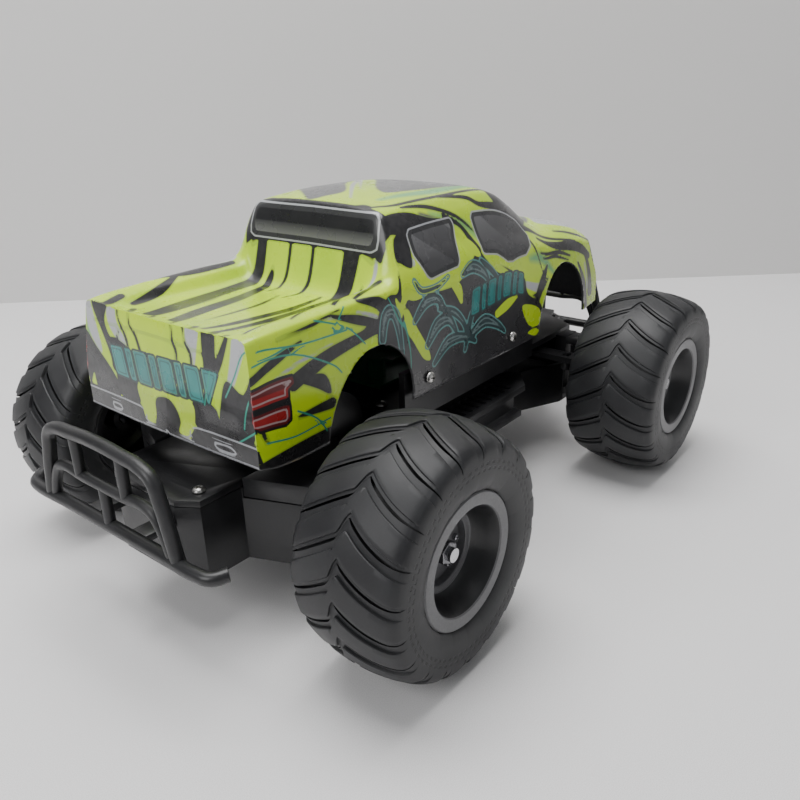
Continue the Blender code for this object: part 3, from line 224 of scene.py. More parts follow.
def moulded(name, tint, dust=(0.22, 0.22, 0.22), dustiness=0.1, scale=900.0, roughness=0.45,
            unevenness=0.14, bump=0.00002, metallic=0.0, coat=0.0, specular=0.5):
    """A material whose colour, roughness and bump come from the moulded grain group."""
    made, tree, shader = bare_material(name)
    grain = tree.nodes.new("ShaderNodeGroup")
    grain.node_tree = grain_tree
    grain.inputs["Tint"].default_value = (*tint, 1)
    grain.inputs["Dust"].default_value = (*dust, 1)
    grain.inputs["Dustiness"].default_value = dustiness
    grain.inputs["Scale"].default_value = scale
    grain.inputs["Roughness"].default_value = roughness
    grain.inputs["Unevenness"].default_value = unevenness
    relief = add_node(tree, "ShaderNodeBump", {"Height": grain.outputs["Height"]})
    relief.inputs["Strength"].default_value = 1.0
    relief.inputs["Distance"].default_value = bump
    tree.links.new(grain.outputs["Color"], shader.inputs["Base Color"])
    tree.links.new(grain.outputs["Roughness"], shader.inputs["Roughness"])
    tree.links.new(relief.outputs["Normal"], shader.inputs["Normal"])
    shader.inputs["Metallic"].default_value = metallic
    shader.inputs["Coat Weight"].default_value = coat
    shader.inputs["Coat Roughness"].default_value = 0.12
    shader.inputs["Specular IOR Level"].default_value = specular
    return made


floor_finish = moulded("pale_floor", (0.80, 0.79, 0.79), (0.76, 0.75, 0.75), 0.06, 3000.0, 0.45,
                       unevenness=0.05, bump=0.000002)
wall_finish = moulded("pale_wall", (0.70, 0.69, 0.68), (0.68, 0.67, 0.66), 0.03, 3000.0, 0.6,
                      unevenness=0.03, bump=0.000001)

# %% Floor and wall
FLOOR_DROP = 0.0002                                  # just under the tyres
WALL_SIZE, WALL_TURN = 4.0, -48.39                   # metres, degrees
for name, finish, size, place, turn in (
        ("studio_floor", floor_finish, 6.0, (1.0, 1.0, -FLOOR_DROP), (0, 0, 0)),
        ("studio_wall", wall_finish, WALL_SIZE, (0.3047, 0.2287, WALL_SIZE / 2 - FLOOR_DROP),
         (math.pi / 2, 0, math.radians(WALL_TURN)))):
    rest()
    bpy.ops.mesh.primitive_plane_add(size=size, location=place, rotation=turn)
    plane = bpy.context.object
    plane.name = name
    plane.data.materials.append(finish)

# %% Lamps
def area_lamp(name, place, aim, size, power):
    """A square soft lamp, its size in metres and its power in watts, turned towards aim."""
    data = bpy.data.lights.new(name, "AREA")
    data.energy = power
    data.size = size
    lamp = add_object(name, data)
    lamp.location = place
    lamp.rotation_euler = (Vector(aim) - Vector(place)).to_track_quat("-Z", "Y").to_euler()
    return lamp


area_lamp("ceiling_lamp", (-0.02, 0.14, 1.25), (0, 0, 0), 0.9, 20.0)
area_lamp("window_lamp", (-1.15, 0.1, 0.8), (0, 0, 0.05), 0.7, 8.0)
area_lamp("front_fill", (0.3, -1.2, 0.6), (0, 0, 0.05), 1.0, 0.9)
world = bpy.data.worlds.new("studio_air")
bpy.context.scene.world = world
world.use_nodes = True
air = world.node_tree.nodes["Background"]
air.inputs["Color"].default_value = (0.82, 0.84, 0.87, 1)
air.inputs["Strength"].default_value = 0.30

# %% [markdown]
# ## Turned rims
# Each rim is moulded in one piece: a pale flat ring outside, a dark bowl, and a grey hub plate
# with a raised edge and small screws. A turned shape is a section spun round an axle. Its
# section starts as a circle whose points are moved to the outline, so it stays closed.

# %% Mesh helpers
def finish_mesh(piece, angle=35):
    """Merge doubles, point the faces outwards and shade smooth up to an angle."""
    pick(piece)
    bpy.ops.object.mode_set(mode="EDIT")
    bpy.ops.mesh.select_all(action="SELECT")
    bpy.ops.mesh.remove_doubles(threshold=0.00002)
    bpy.ops.mesh.normals_make_consistent(inside=False)
    bpy.ops.object.mode_set(mode="OBJECT")
    bpy.ops.object.shade_smooth_by_angle(angle=math.radians(angle))
    return piece


def settle(piece):
    """Apply the object's own place and turn to its mesh."""
    pick(piece)
    bpy.ops.object.transform_apply(location=True, rotation=True, scale=True)
    return piece


def apply_all(piece):
    """Apply every modifier of a piece."""
    pick(piece)
    for change in list(piece.modifiers):
        bpy.ops.object.modifier_apply(modifier=change.name)
    return piece


def turned(name, section, steps=96):
    """A ring or disc made by spinning a closed section of (radius, height) points round Z."""
    rest()
    bpy.ops.mesh.primitive_circle_add(vertices=len(section), fill_type="NOTHING")
    piece = bpy.context.object
    piece.name = name
    for vertex, (radius, height) in zip(piece.data.vertices, section):
        vertex.co = (radius, 0, height)
    bpy.ops.object.mode_set(mode="EDIT")
    bpy.ops.mesh.select_all(action="SELECT")
    bpy.ops.mesh.spin(steps=steps, angle=2 * math.pi, center=(0, 0, 0), axis=(0, 0, 1))
    bpy.ops.object.mode_set(mode="OBJECT")
    return finish_mesh(piece)


def copy_of(piece, name, matrix):
    """A copy with its own mesh, moved by the matrix and left at the origin."""
    made = piece.copy()
    made.data = piece.data.copy()
    made.name = name
    bpy.context.scene.collection.objects.link(made)
    made.data.transform(matrix)
    if matrix.determinant() < 0:
        made.data.flip_normals()
    return made


def join(name, pieces):
    """Join pieces into the first one."""
    rest()
    for piece in pieces:
        piece.select_set(True)
    bpy.context.view_layer.objects.active = pieces[0]
    bpy.ops.object.join()
    pieces[0].name = name
    return pieces[0]


def dress(piece, *materials):
    """Replace a piece's materials."""
    piece.data.materials.clear()
    for finish in materials:
        piece.data.materials.append(finish)


def hand_over(piece, body, replaced=None):
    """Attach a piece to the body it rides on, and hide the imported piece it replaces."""
    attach(piece, body)
    if replaced:
        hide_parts(replaced)


def paint_faces(piece, materials, choose):
    """Give each face the material whose number choose(centre) returns."""
    dress(piece, *materials)
    for face in piece.data.polygons:
        face.material_index = choose(face.center)


# %% Where the wheels are
def middle(node):
    """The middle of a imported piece's box."""
    low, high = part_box(node)
    return (Vector(low) + Vector(high)) / 2


wheel_places = {(end, side): middle("%s_tyre_%s" % (end, side))
                for end in ("front", "rear") for side in ("left", "right")}
low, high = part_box("rear_rim_right")
RIM_R = (high[2] - low[2]) / 2
RIM_HALF = (high[1] - low[1]) / 2
print("rim radius %.4f half width %.4f" % (RIM_R, RIM_HALF))

# %% Rim materials
ring_finish = moulded("rim_ring_grey", (0.115, 0.115, 0.12), (0.18, 0.18, 0.18), 0.25,
                      1200.0, 0.42, bump=0.00001)
dish_finish = moulded("rim_dish_black", (0.010, 0.010, 0.011), (0.05, 0.05, 0.055), 0.12,
                      700.0, 0.36)
hub_finish = moulded("hub_plate_grey", (0.11, 0.11, 0.115), (0.20, 0.20, 0.21), 0.3, 1500.0, 0.4)
bolt_finish = moulded("plated_bolt", (0.42, 0.42, 0.44), (0.2, 0.2, 0.2), 0.3, 1800.0, 0.3,
                      metallic=1.0)

# %% Rim section and bolts
BOLTS, BOLT_CIRCLE, BOLT_RADIUS = 6, 0.0093, 0.0012
NUT_CORNER_RADIUS, NUT_HEIGHT = 0.0045, 0.0036
face = RIM_HALF
rim_section = [
    (RIM_R, face - 0.0005), (RIM_R, 0.0168), (0.0220, 0.0165), (0.0220, -0.0165),
    (RIM_R, -0.0168), (RIM_R, -face + 0.0005), (RIM_R - 0.0005, -face), (0.0208, -face),
    (0.0186, 0.0020), (0.0160, 0.0045), (0.0068, 0.0045), (0.0055, -0.0040), (0.0029, -0.0040),
    (0.0029, 0.0084), (0.0060, 0.0084), (0.0062, 0.0082), (0.0062, 0.0074), (0.0120, 0.0074),
    (0.0121, 0.0102), (0.0124, 0.0105), (0.0141, 0.0105), (0.0145, 0.0108), (0.0158, 0.0126),
    (0.0172, 0.0156), (0.0184, 0.0186), (0.0190, face - 0.0006), (0.0194, face - 0.0001),
    (0.0199, face), (RIM_R - 0.0005, face)]
rim_blank = turned("rim_blank", rim_section, 120)
rest()
bpy.ops.mesh.primitive_cylinder_add(vertices=20, radius=BOLT_RADIUS, depth=0.0016,
                                    location=(BOLT_CIRCLE, 0, 0.0080))
bolt = bpy.context.object
bpy.ops.object.mode_set(mode="EDIT")
bpy.ops.mesh.select_all(action="DESELECT")
bpy.ops.object.mode_set(mode="OBJECT")
for polygon in bolt.data.polygons:
    polygon.select = polygon.normal.z > 0.9
bpy.ops.object.mode_set(mode="EDIT")
bpy.ops.mesh.inset(thickness=0.00025)
bpy.ops.transform.translate(value=(0, 0, 0.00025))
bpy.ops.mesh.inset(thickness=0.00040)
bpy.ops.mesh.extrude_region_move(TRANSFORM_OT_translate={"value": (0, 0, -0.0006)})
bpy.ops.object.mode_set(mode="OBJECT")
settle(bolt)
bolt_ring = join("bolt_ring", [
    copy_of(bolt, "bolt_%d" % number, Matrix.Rotation(math.tau * number / BOLTS, 4, "Z"))
    for number in range(BOLTS)])
bpy.data.objects.remove(bolt)
rest()
bpy.ops.mesh.primitive_cylinder_add(vertices=6, radius=NUT_CORNER_RADIUS, depth=NUT_HEIGHT,
                                    location=(0, 0, 0.0106))
nut_blank = bpy.context.object
for polygon in nut_blank.data.polygons:
    polygon.select = abs(polygon.normal.z) > 0.9
bpy.ops.object.mode_set(mode="EDIT")
bpy.ops.mesh.bevel(offset=0.0005, segments=2, affect="EDGES")
bpy.ops.object.mode_set(mode="OBJECT")
settle(nut_blank)
print("rim faces:", len(rim_blank.data.polygons), "bolt ring:", len(bolt_ring.data.polygons))

# %% Place rims
RING_DEPTH, RING_INSIDE = 0.0012, 0.0191
HUB_LEVEL, HUB_RADIUS = 0.006, 0.0146


def wheel_matrix(end, side):
    """Takes a wheel drawn with its outer face towards +Z to its axle."""
    out = 1 if side == "left" else -1
    return Matrix.Translation(wheel_places[end, side]) @ Matrix.Rotation(-out * math.pi / 2, 4, "X")


def rim_face(centre):
    """Which finish a face of the rim gets: outer ring 0, bowl 1, hub plate 2."""
    radius = math.hypot(centre.x, centre.y)
    if centre.z > face - RING_DEPTH and radius > RING_INSIDE:
        return 0
    return 2 if centre.z > HUB_LEVEL and radius < HUB_RADIUS else 1


paint_faces(rim_blank, [ring_finish, dish_finish, hub_finish], rim_face)
bolt_ring.data.materials.append(bolt_finish)
wheel_body = {("rear", "left"): "rear_axle", ("rear", "right"): "rear_axle",
              ("front", "left"): "front_wheel_left", ("front", "right"): "front_wheel_right"}
for (end, side), body in wheel_body.items():
    matrix = wheel_matrix(end, side)
    rim = copy_of(rim_blank, "rim_%s_%s" % (end, side), matrix)
    hand_over(rim, body, "%s_rim_%s" % (end, side))
    ring = copy_of(bolt_ring, "hub_bolts_%s_%s" % (end, side), matrix)
    hand_over(ring, body)
bpy.data.objects.remove(rim_blank)
bpy.data.objects.remove(bolt_ring)

# %% [markdown]
# ## Tyres
# The tread is two rows of broad sloping lugs that meet in a zigzag slot, each lug with a lower
# step along one edge. Cutting every groove would be slow. Instead a fine grid is bent round the
# wheel with its lines already lying along the lugs, so a groove is only a matter of how far each
# line stands from the axle, and its walls come out straight and crisp.

# %% Eased tables
def eased(table, places):
    """Smooth values between the rows of a table, with slopes that never overshoot."""
    table = np.asarray(table, float)
    steps = np.diff(table, axis=0)
    slopes = np.zeros_like(table)
    before, after = steps[:-1], steps[1:]
    total = np.where(before + after == 0, 1.0, before + after)
    slopes[1:-1] = np.where(before * after > 0, 2 * before * after / total, 0.0)
    slopes[0], slopes[-1] = steps[0], steps[-1]
    start = np.clip(np.floor(places).astype(int), 0, len(table) - 2)
    share = (places - start).reshape((-1,) + (1,) * (table.ndim - 1))
    a, b = table[start], table[start + 1]
    s, e = slopes[start], slopes[start + 1]
    return (a * (1 + 2 * share) * (1 - share) ** 2 + s * share * (1 - share) ** 2
            + b * share ** 2 * (3 - 2 * share) + e * share ** 2 * (share - 1))


def grid_piece(name, columns, rows):
    """A primitive grid, with the column and row number of each of its points."""
    rest()
    bpy.ops.mesh.primitive_grid_add(x_subdivisions=columns, y_subdivisions=rows, size=2.0)
    piece = bpy.context.object
    piece.name = name
    flat = np.zeros(len(piece.data.vertices) * 3)
    piece.data.vertices.foreach_get("co", flat)
    flat = flat.reshape(-1, 3)
    column = np.round((flat[:, 0] + 1) / 2 * columns).astype(int)
    row = np.round((flat[:, 1] + 1) / 2 * rows).astype(int)
    return piece, column, row


def move_points(piece, places):
    """Put every point of a piece at its place."""
    piece.data.vertices.foreach_set("co", np.asarray(places, float).ravel())
    piece.data.update()


# %% Lug pattern
LUGS = 20
PITCH = 2 * math.pi / LUGS
STEPS_ACROSS = 184
# Shares of one pitch and how far each line stands between the groove (0) and the lug top (1).
LUG_LINES = [(0.000, 0.0), (0.050, 0.0), (0.072, 0.93), (0.095, 1.0), (0.25, 1.0), (0.42, 1.0),
             (0.60, 1.0), (0.690, 1.0), (0.715, 0.96), (0.735, 0.80), (0.82, 0.78), (0.905, 0.77),
             (0.925, 0.70), (0.945, 0.0)]
# Outline of one tyre: across, radius over the lugs, radius in the grooves, in millimetres.
TYRE_LINES = [
    (16.2, 22.3, 22.3), (16.2, 24.3, 24.3), (19.4, 24.35, 24.35), (20.1, 24.8, 24.8),
    (20.9, 26.2, 26.2), (21.5, 28.2, 28.2), (21.80, 30.4, 30.4), (21.90, 32.6, 32.6),
    (21.95, 34.4, 34.4), (21.92, 35.9, 35.7), (21.80, 37.3, 36.3), (21.4, 38.8, 36.9),
    (20.5, 40.1, 37.5), (19.0, 41.2, 38.2), (17.0, 42.0, 38.8), (14.0, 42.8, 39.4),
    (11.0, 43.45, 40.0), (8.0, 43.95, 40.4), (5.0, 44.3, 40.7), (3.2, 44.42, 40.8),
    (1.6, 44.48, 40.9), (0.0, 44.5, 41.0)]
half_lines = np.array(TYRE_LINES)
other_half = half_lines[::-1][1:] * (-1, 1, 1)
tyre_lines = np.concatenate([half_lines, other_half])
along = eased(tyre_lines, np.linspace(0, len(tyre_lines) - 1, STEPS_ACROSS + 1))
rows = len(along)
line_phase = np.array([share for share, _ in LUG_LINES])
line_height = np.array([height for _, height in LUG_LINES])
columns = LUGS * len(LUG_LINES)
print("tyre grid:", columns, "x", rows)

# %% Bend the tyre
OUTER_SWEEP, OUTER_EASE, INNER_SWEEP = 1.05, 0.019, 0.82     # degrees for each millimetre across
SLOT_WIDENING, SLOT_HALF = 1.9, 1.5                          # the zigzag slot in the middle
SHOULDER_WIDENING, SHOULDER_FROM, SHOULDER_OVER = 0.9, 14, 8
STRETCH_REACH = 0.42                                         # shares of a pitch
WOBBLE = 0.05                                                # millimetres
tyre_blank, column, row = grid_piece("tyre_blank", columns, rows)
lug = column // len(LUG_LINES)
line = column % len(LUG_LINES)
loop = row % rows
across, top, root = along[loop].T
outer = np.maximum(across, 0)
inner = np.maximum(-across, 0)
swap = np.clip((1.5 - across) / 3.0, 0, 1)
swap = swap * swap * (3 - 2 * swap)
outer_sweep = np.radians(OUTER_SWEEP * outer - OUTER_EASE * outer ** 2)
inner_sweep = np.radians(INNER_SWEEP * inner)
sweep = outer_sweep + inner_sweep + swap * PITCH / 2
middle_slot = SLOT_WIDENING * np.exp(-(across / SLOT_HALF) ** 2)
shoulder = SHOULDER_WIDENING * np.clip((np.abs(across) - SHOULDER_FROM) / SHOULDER_OVER, 0, 1)
stretch = 1 + middle_slot + shoulder
from_groove = line_phase[line].copy()
from_groove = np.where(from_groove > 0.85, from_groove - 1, from_groove)
near = np.clip(1 - np.abs(from_groove) / STRETCH_REACH, 0, 1)
from_groove = from_groove * (1 + (stretch - 1) * near ** 2)
angle = (lug + from_groove) * PITCH + sweep
radius = root + (top - root) * line_height[line]
wobble = WOBBLE * np.sin(angle * 3 + across * 0.2)
radius = (radius + np.where(radius > 40, wobble - WOBBLE, 0)) * MM
places = np.stack([radius * np.cos(angle), radius * np.sin(angle), across * MM], axis=1)
move_points(tyre_blank, places)
finish_mesh(tyre_blank, 38)
print("tyre faces:", len(tyre_blank.data.polygons))

# %% [markdown]
# Rubber scatters light widely and keeps a faint grey bloom. Two rings of small moulded dashes
# run round the sidewall. They are only a fraction of a millimetre deep, so they are drawn in the
# material from the distance to the axle and the angle round it, as a shallow dent in the bump
# and a darker colour that is painted shade in the dents.

# %% Tyre rubber
def rubber(name, centre):
    """Tyre rubber with two rings of dashes round the wheel's own middle."""
    made, tree, shader = bare_material(name)
    place = tree.nodes.new("ShaderNodeTexCoord").outputs["Object"]
    centred = add_node(tree, "ShaderNodeMapping", {"Vector": place})
    centred.inputs["Location"].default_value = -centre
    parts = add_node(tree, "ShaderNodeSeparateXYZ", {"Vector": centred.outputs[0]})
    x, z = parts.outputs["X"], parts.outputs["Z"]
    reach = maths(tree, "SQRT", maths(tree, "ADD", maths(tree, "MULTIPLY", x, x),
                                      maths(tree, "MULTIPLY", z, z)))
    turn = maths(tree, "ARCTAN2", z, x)
    marks = None
    for ring, count, phase in ((0.0322, 64, 0.0), (0.0342, 64, 0.5)):
        band = spread(tree, maths(tree, "ABSOLUTE", maths(tree, "SUBTRACT", reach, ring)),
                      0.00038, 0.00052, 1.0, 0.0)
        wave = maths(tree, "FRACT", maths(tree, "ADD", maths(
            tree, "MULTIPLY", turn, count / math.tau), phase + 64.0))
        dash = spread(tree, maths(tree, "ABSOLUTE", maths(tree, "SUBTRACT", wave, 0.5)),
                      0.22, 0.27, 1.0, 0.0)
        spot = maths(tree, "MULTIPLY", band, dash)
        marks = spot if marks is None else maths(tree, "MAXIMUM", marks, spot)
    side = maths(tree, "ABSOLUTE", parts.outputs["Y"])
    marks = maths(tree, "MULTIPLY", marks, spread(tree, side, 0.0200, 0.0205))
    grain = tree.nodes.new("ShaderNodeGroup")
    grain.node_tree = grain_tree
    for label, value in (("Tint", (0.011, 0.011, 0.0125, 1)), ("Dust", (0.038, 0.040, 0.042, 1)),
                         ("Dustiness", 0.30), ("Scale", 1100.0), ("Roughness", 0.50),
                         ("Unevenness", 0.12)):
        grain.inputs[label].default_value = value
    # The dashes are painted darker than the rubber: painted shade in the shallow dents.
    colour = blend_colours(tree, marks, grain.outputs["Color"], (0.008, 0.008, 0.009))
    height = maths(tree, "SUBTRACT", maths(tree, "MULTIPLY", grain.outputs["Height"], 0.08), marks)
    relief = add_node(tree, "ShaderNodeBump", {"Height": height})
    relief.inputs["Distance"].default_value = 0.0003
    tree.links.new(colour, shader.inputs["Base Color"])
    tree.links.new(grain.outputs["Roughness"], shader.inputs["Roughness"])
    tree.links.new(relief.outputs["Normal"], shader.inputs["Normal"])
    shader.inputs["Specular IOR Level"].default_value = 0.45
    return made


for (end, side), body in wheel_body.items():
    place = wheel_places[end, side]
    mirror = Matrix.Identity(4) if side == "right" else Matrix.Scale(-1, 4, Vector((0, 1, 0)))
    lie = Matrix.Rotation(math.pi / 2, 4, "X")
    tyre = copy_of(tyre_blank, "tyre_%s_%s" % (end, side),
                   Matrix.Translation(place) @ mirror @ lie)
    tyre.data.materials.append(rubber("tyre_rubber_%s_%s" % (end, side), place))
    hand_over(tyre, body, "%s_tyre_%s" % (end, side))
bpy.data.objects.remove(tyre_blank)

# %% Wheel nuts
nut_finish = moulded("dark_plated_nut", (0.20, 0.20, 0.21), (0.1, 0.1, 0.1), 0.3, 1600.0, 0.32,
                     metallic=1.0)
nut_blank.data.materials.append(nut_finish)
nut_body = {("rear", "left"): "rear_axle", ("rear", "right"): "rear_axle",
            ("front", "left"): "knuckle_left", ("front", "right"): "knuckle_right"}
for (end, side), body in nut_body.items():
    nut = copy_of(nut_blank, "nut_%s_%s" % (end, side), wheel_matrix(end, side))
    hand_over(nut, body, "%s_wheel_nut_%s" % (end, side))
bpy.data.objects.remove(nut_blank)

# %% [markdown]
# ## The printed body
# The body is one thin sheet of clear plastic, drawn down hot over a mould and printed on the
# inside, so its print is glossy and its corners are round. Its cross-sections are known at a row
# of places along the truck. A fine grid is bent through them with curves that never overshoot,
# which keeps the roof and rails crisp without wrinkles.

# %% Cross-sections of the body
FLANK = [(48.2, 104), (49.9, 90), (50.3, 73.5)]
CROWN_Y = (0, 14, 26)
# Along the truck, heights at the three crown places, and (y, height) from there down.
STATIONS = [
    (-122, (117.6, 117.7, 117.9), [(33, 118.2), (38, 118.5), (41.8, 118.6), (44.9, 117.4),
     (47.4, 104), (48.8, 90), (49.2, 76)]),
    (-116, (115.2, 115.2, 115.4), [(32.5, 116.2), (37.6, 118.9), (41.8, 119.3), (45.4, 118.2),
     (47.9, 104), (49.5, 90), (49.9, 74)]),
    (-105, (113.8, 113.8, 114), [(32.5, 114.8), (37.4, 118.8), (41.9, 119.8),
     (45.7, 118.6)] + FLANK),
    (-88, (113, 113, 113.2), [(32.5, 114.1), (37.4, 118.8), (42, 120.2), (45.9, 118.9)] + FLANK),
    (-70, (112.4, 112.4, 112.7), [(32.4, 113.9), (37.2, 119), (42, 120.4),
     (46.1, 119.1)] + FLANK),
    (-57, (112.4, 112.4, 112.7), [(32, 114.2), (36.8, 119.2), (41.8, 120.6),
     (46.3, 119.3)] + FLANK),
    (-52, (115, 115, 115.2), [(32, 116.6), (36.8, 120.4), (41.8, 121.2), (46.3, 119.4)] + FLANK),
    (-48.2, (126, 126, 126), [(33.5, 126), (38.4, 126), (42.6, 123.6), (46.4, 119.5)] + FLANK),
    (-45.2, (140.4, 140.3, 140), [(33.2, 139.2), (38.8, 135.4), (42.6, 128.5),
     (46.5, 119.6)] + FLANK),
    (-42, (147.2, 147, 146.2), [(33.2, 145), (38.4, 140), (42.2, 130.5), (46.5, 119.7)] + FLANK),
    (-34, (148.8, 148.4, 147.4), [(33.5, 145.8), (38.3, 140.8), (42.1, 131),
     (46.6, 119.8)] + FLANK),
    (-15, (150, 149.6, 148.4), [(33.6, 146.6), (38.3, 141.2), (42.1, 131),
     (46.7, 119.8)] + FLANK),
    (8, (149.4, 149.1, 148), [(33.6, 146.5), (38.3, 141), (42.1, 130.8), (46.8, 119.4)] + FLANK),
    (25, (147.8, 147.6, 146.9), [(33.7, 145.6), (38.4, 139.8), (42.1, 129.6),
     (46.8, 118.6)] + FLANK),
    (36, (145.2, 145, 144.4), [(33.8, 143), (38.6, 137.2), (42.3, 127.6), (46.8, 117.8)] + FLANK),
    (48, (139.8, 139.5, 138.6), [(34.2, 136.8), (39, 131.6), (42.9, 124), (46.7, 116.8)] + FLANK),
    (60, (133.2, 132.8, 131.6), [(34.6, 129.2), (39.4, 125.2), (43.6, 120.2),
     (46.6, 115.6)] + FLANK),
    (70, (127.2, 126.8, 125.6), [(34.8, 123.6), (39.8, 121), (43.8, 117.8),
     (46.5, 114.6)] + FLANK),
    (78, (124.6, 124.3, 123.5), [(34.8, 122), (39.9, 119.8), (43.8, 116.8),
     (46.4, 113.8)] + FLANK),
    (92, (122.8, 122.6, 122.1), [(34.8, 120.9), (39.9, 118.7), (43.8, 115.8),
     (46.3, 112.8)] + FLANK),
    (105, (120.4, 120.2, 119.7), [(34.8, 118.6), (39.9, 116.4), (43.7, 113.8), (46.2, 111.2),
     (48, 102), (49.5, 89), (49.8, 74.5)]),
    (115, (117, 116.8, 116.2), [(34.8, 115), (39.7, 113.2), (43.3, 111.2), (45.8, 109),
     (47.2, 99), (48.4, 87.5), (48.8, 76)]),
]
TAIL_SHIFT = (0.0, -1.2, -2.4, -2.5)
TAIL_BULGE = (0.0, 0.9, 0.9, 0.9)
NOSE_SHIFT = (0.0, 3.5, 7.0, 6.5)
NOSE_BULGE = (5.5, 8.0, 6.5, 6.0)
BELT = 6
LOWERED = 3.5            # the sections are drawn this much above the ground line
sections = np.array([[(x, y, z) for y, z in [*zip(CROWN_Y, heights), *points]]
                     for x, heights, points in STATIONS])
for row_number, shifts in ((0, TAIL_SHIFT), (-1, NOSE_SHIFT)):
    sections[row_number, BELT:, 0] += shifts
across_share = 1 - (sections[:, :BELT + 1, 1] / sections[:, BELT:BELT + 1, 1]) ** 2
for row_number, share in ((-1, 1.0), (-2, 0.45), (-3, 0.12)):
    sections[row_number, :BELT + 1, 0] += NOSE_BULGE[0] * share * across_share[row_number]
left_half = sections[:, :0:-1].copy()
full = np.concatenate([left_half, sections * (1, -1, 1)], axis=1)

# %% Bend the grid
def spaced(lengths, step, least):
    """Places between table rows, at about one point for each step of length."""
    marks = [np.linspace(i, i + 1, max(least, int(round(length / step))), endpoint=False)
             for i, length in enumerate(lengths)]
    return np.append(np.concatenate(marks), len(lengths))


lengthwise = spaced(np.diff([x for x, _, _ in STATIONS]), 1.10, 4)
half_girth = spaced([14, 12, 7, 7, 9, 9, 15, 14, 16], 1.20, 7)
girth = np.concatenate([-half_girth[:0:-1], half_girth])
sheet_rows = eased(full, lengthwise)
sheet = np.stack([eased(row, girth + 9) for row in sheet_rows])
steps = np.linalg.norm(np.diff(sheet, axis=1), axis=2)
middle_index = len(half_girth) - 1
reach_v = np.concatenate([np.zeros((len(sheet), 1)), np.cumsum(steps, axis=1)], axis=1)
reach_v -= reach_v[:, middle_index:middle_index + 1]
print("body grid:", sheet.shape)

# %% End panels
def end_panel(edge_row, shifts, bulges, sign):
    """The tail or nose panel, from the belt down, meeting the sheet's end edge exactly."""
    top = np.abs(girth) <= BELT
    down = half_girth[half_girth >= BELT]
    edge = edge_row[middle_index:]
    corners = edge[half_girth >= BELT]
    line = edge_row[top]
    share = line[:, 1] / corners[0, 1]
    bulge = eased(np.array(bulges), down - BELT)
    fade = np.clip(1 - (down - BELT), 0, 1)
    fade = fade * fade * (3 - 2 * fade)
    rise = line[:, 2] - corners[0, 2]
    x = corners[:, 0][:, None] + sign * bulge[:, None] * (1 - share ** 2)[None, :]
    y = corners[:, 1][:, None] * share[None, :]
    z = corners[:, 2][:, None] + fade[:, None] * rise[None, :]
    return np.stack([x, y, z], axis=2)


tail = end_panel(sheet[0], TAIL_SHIFT, TAIL_BULGE, -1)
nose = end_panel(sheet[-1], NOSE_SHIFT, NOSE_BULGE, 1)
ARCH_BASE = 73.0
ARCHES = [(-68.5, 24.5, 28.5, 4.0), (80.5, 24.5, 31.5, 2.0)]


def arch_reach(x, z, arch):
    """How far a point lies from the middle of an arch, as a share of the arch's own size."""
    centre, half, height, lean = arch
    up = np.clip((z - ARCH_BASE) / height, 0, None)
    offset = x - centre - lean * np.clip(up, 0, 1)
    return np.hypot(offset / half, up), offset


# %% Cut the arches
def cut_arches(points):
    """Moves the inner points next to an arch onto its edge; returns which points to remove."""
    x, z = points[..., 0].copy(), points[..., 2].copy()
    remove = np.zeros(x.shape, bool)
    flank_rows = np.abs(girth) > BELT
    for arch in ARCHES:
        reach, offset = arch_reach(x, z, arch)
        inside = (reach < 1) & flank_rows[None, :]
        beside = np.zeros_like(inside)
        outside = ~inside
        for dx in (-1, 0, 1):
            for dy in (-1, 0, 1):
                beside |= np.roll(np.roll(outside, dx, 0), dy, 1)
        edge = inside & beside
        centre, half, height, lean = arch
        scale = 1 / np.maximum(reach, 0.2)
        new_z = np.where(z > ARCH_BASE, ARCH_BASE + (z - ARCH_BASE) * scale, z)
        new_up = np.clip((new_z - ARCH_BASE) / height, 0, 1)
        new_x = centre + lean * new_up + np.sign(offset) * half * np.sqrt(
            np.clip(1 - new_up ** 2, 0, 1))
        points[..., 0] = np.where(edge, new_x, points[..., 0])
        points[..., 2] = np.where(edge, new_z, points[..., 2])
        remove |= inside & ~edge
    return remove


removed = cut_arches(sheet)
print("points inside the arches:", int(removed.sum()))

# %% [markdown]
# ## The print
# The print is bold lime with charcoal and grey stripes, silver edges and dark green-blue line
# work. Each colour is a set of tapered strokes and patches drawn on the unfolded body: x along
# the truck and v round it from the centre line, in millimetres. Every point of the grid keeps
# its distance to each set, and the material turns distances into crisp edges. A painted picture
# would blur when seen close; distances don't.

# %% Distances to strokes and patches
FAR = 1e3                                            # millimetres, beyond every shape


def along_segment(p, start, end):
    """The share of a segment at which it is nearest to each point, and the distance there."""
    dx, dy = end[0] - start[0], end[1] - start[1]
    x, y = p[:, 0] - start[0], p[:, 1] - start[1]
    t = np.clip((x * dx + y * dy) / (dx * dx + dy * dy), 0, 1)
    return t, np.hypot(x - t * dx, y - t * dy)


def stroke_distance(p, stroke):
    """Distance from points to a line of varying half width, given as (x, v, half width)."""
    best = np.full(len(p), FAR)
    for start, end in zip(stroke, stroke[1:]):
        t, gap = along_segment(p, start, end)
        best = np.minimum(best, gap - (start[2] + (end[2] - start[2]) * t))
    return best


def patch_distance(p, corners):
    """Signed distance from points to a closed outline: negative inside."""
    best = np.full(len(p), FAR)
    inside = np.zeros(len(p), bool)
    for (ax, ay), (bx, by) in zip(corners, corners[1:] + corners[:1]):
        best = np.minimum(best, along_segment(p, (ax, ay), (bx, by))[1])
        crosses = (ay > p[:, 1]) != (by > p[:, 1])
        height = np.where(crosses, (p[:, 1] - ay) / ((by - ay) or 1e-9), 0)
        inside ^= crosses & (p[:, 0] < ax + height * (bx - ax))
    return np.where(inside, -best, best)


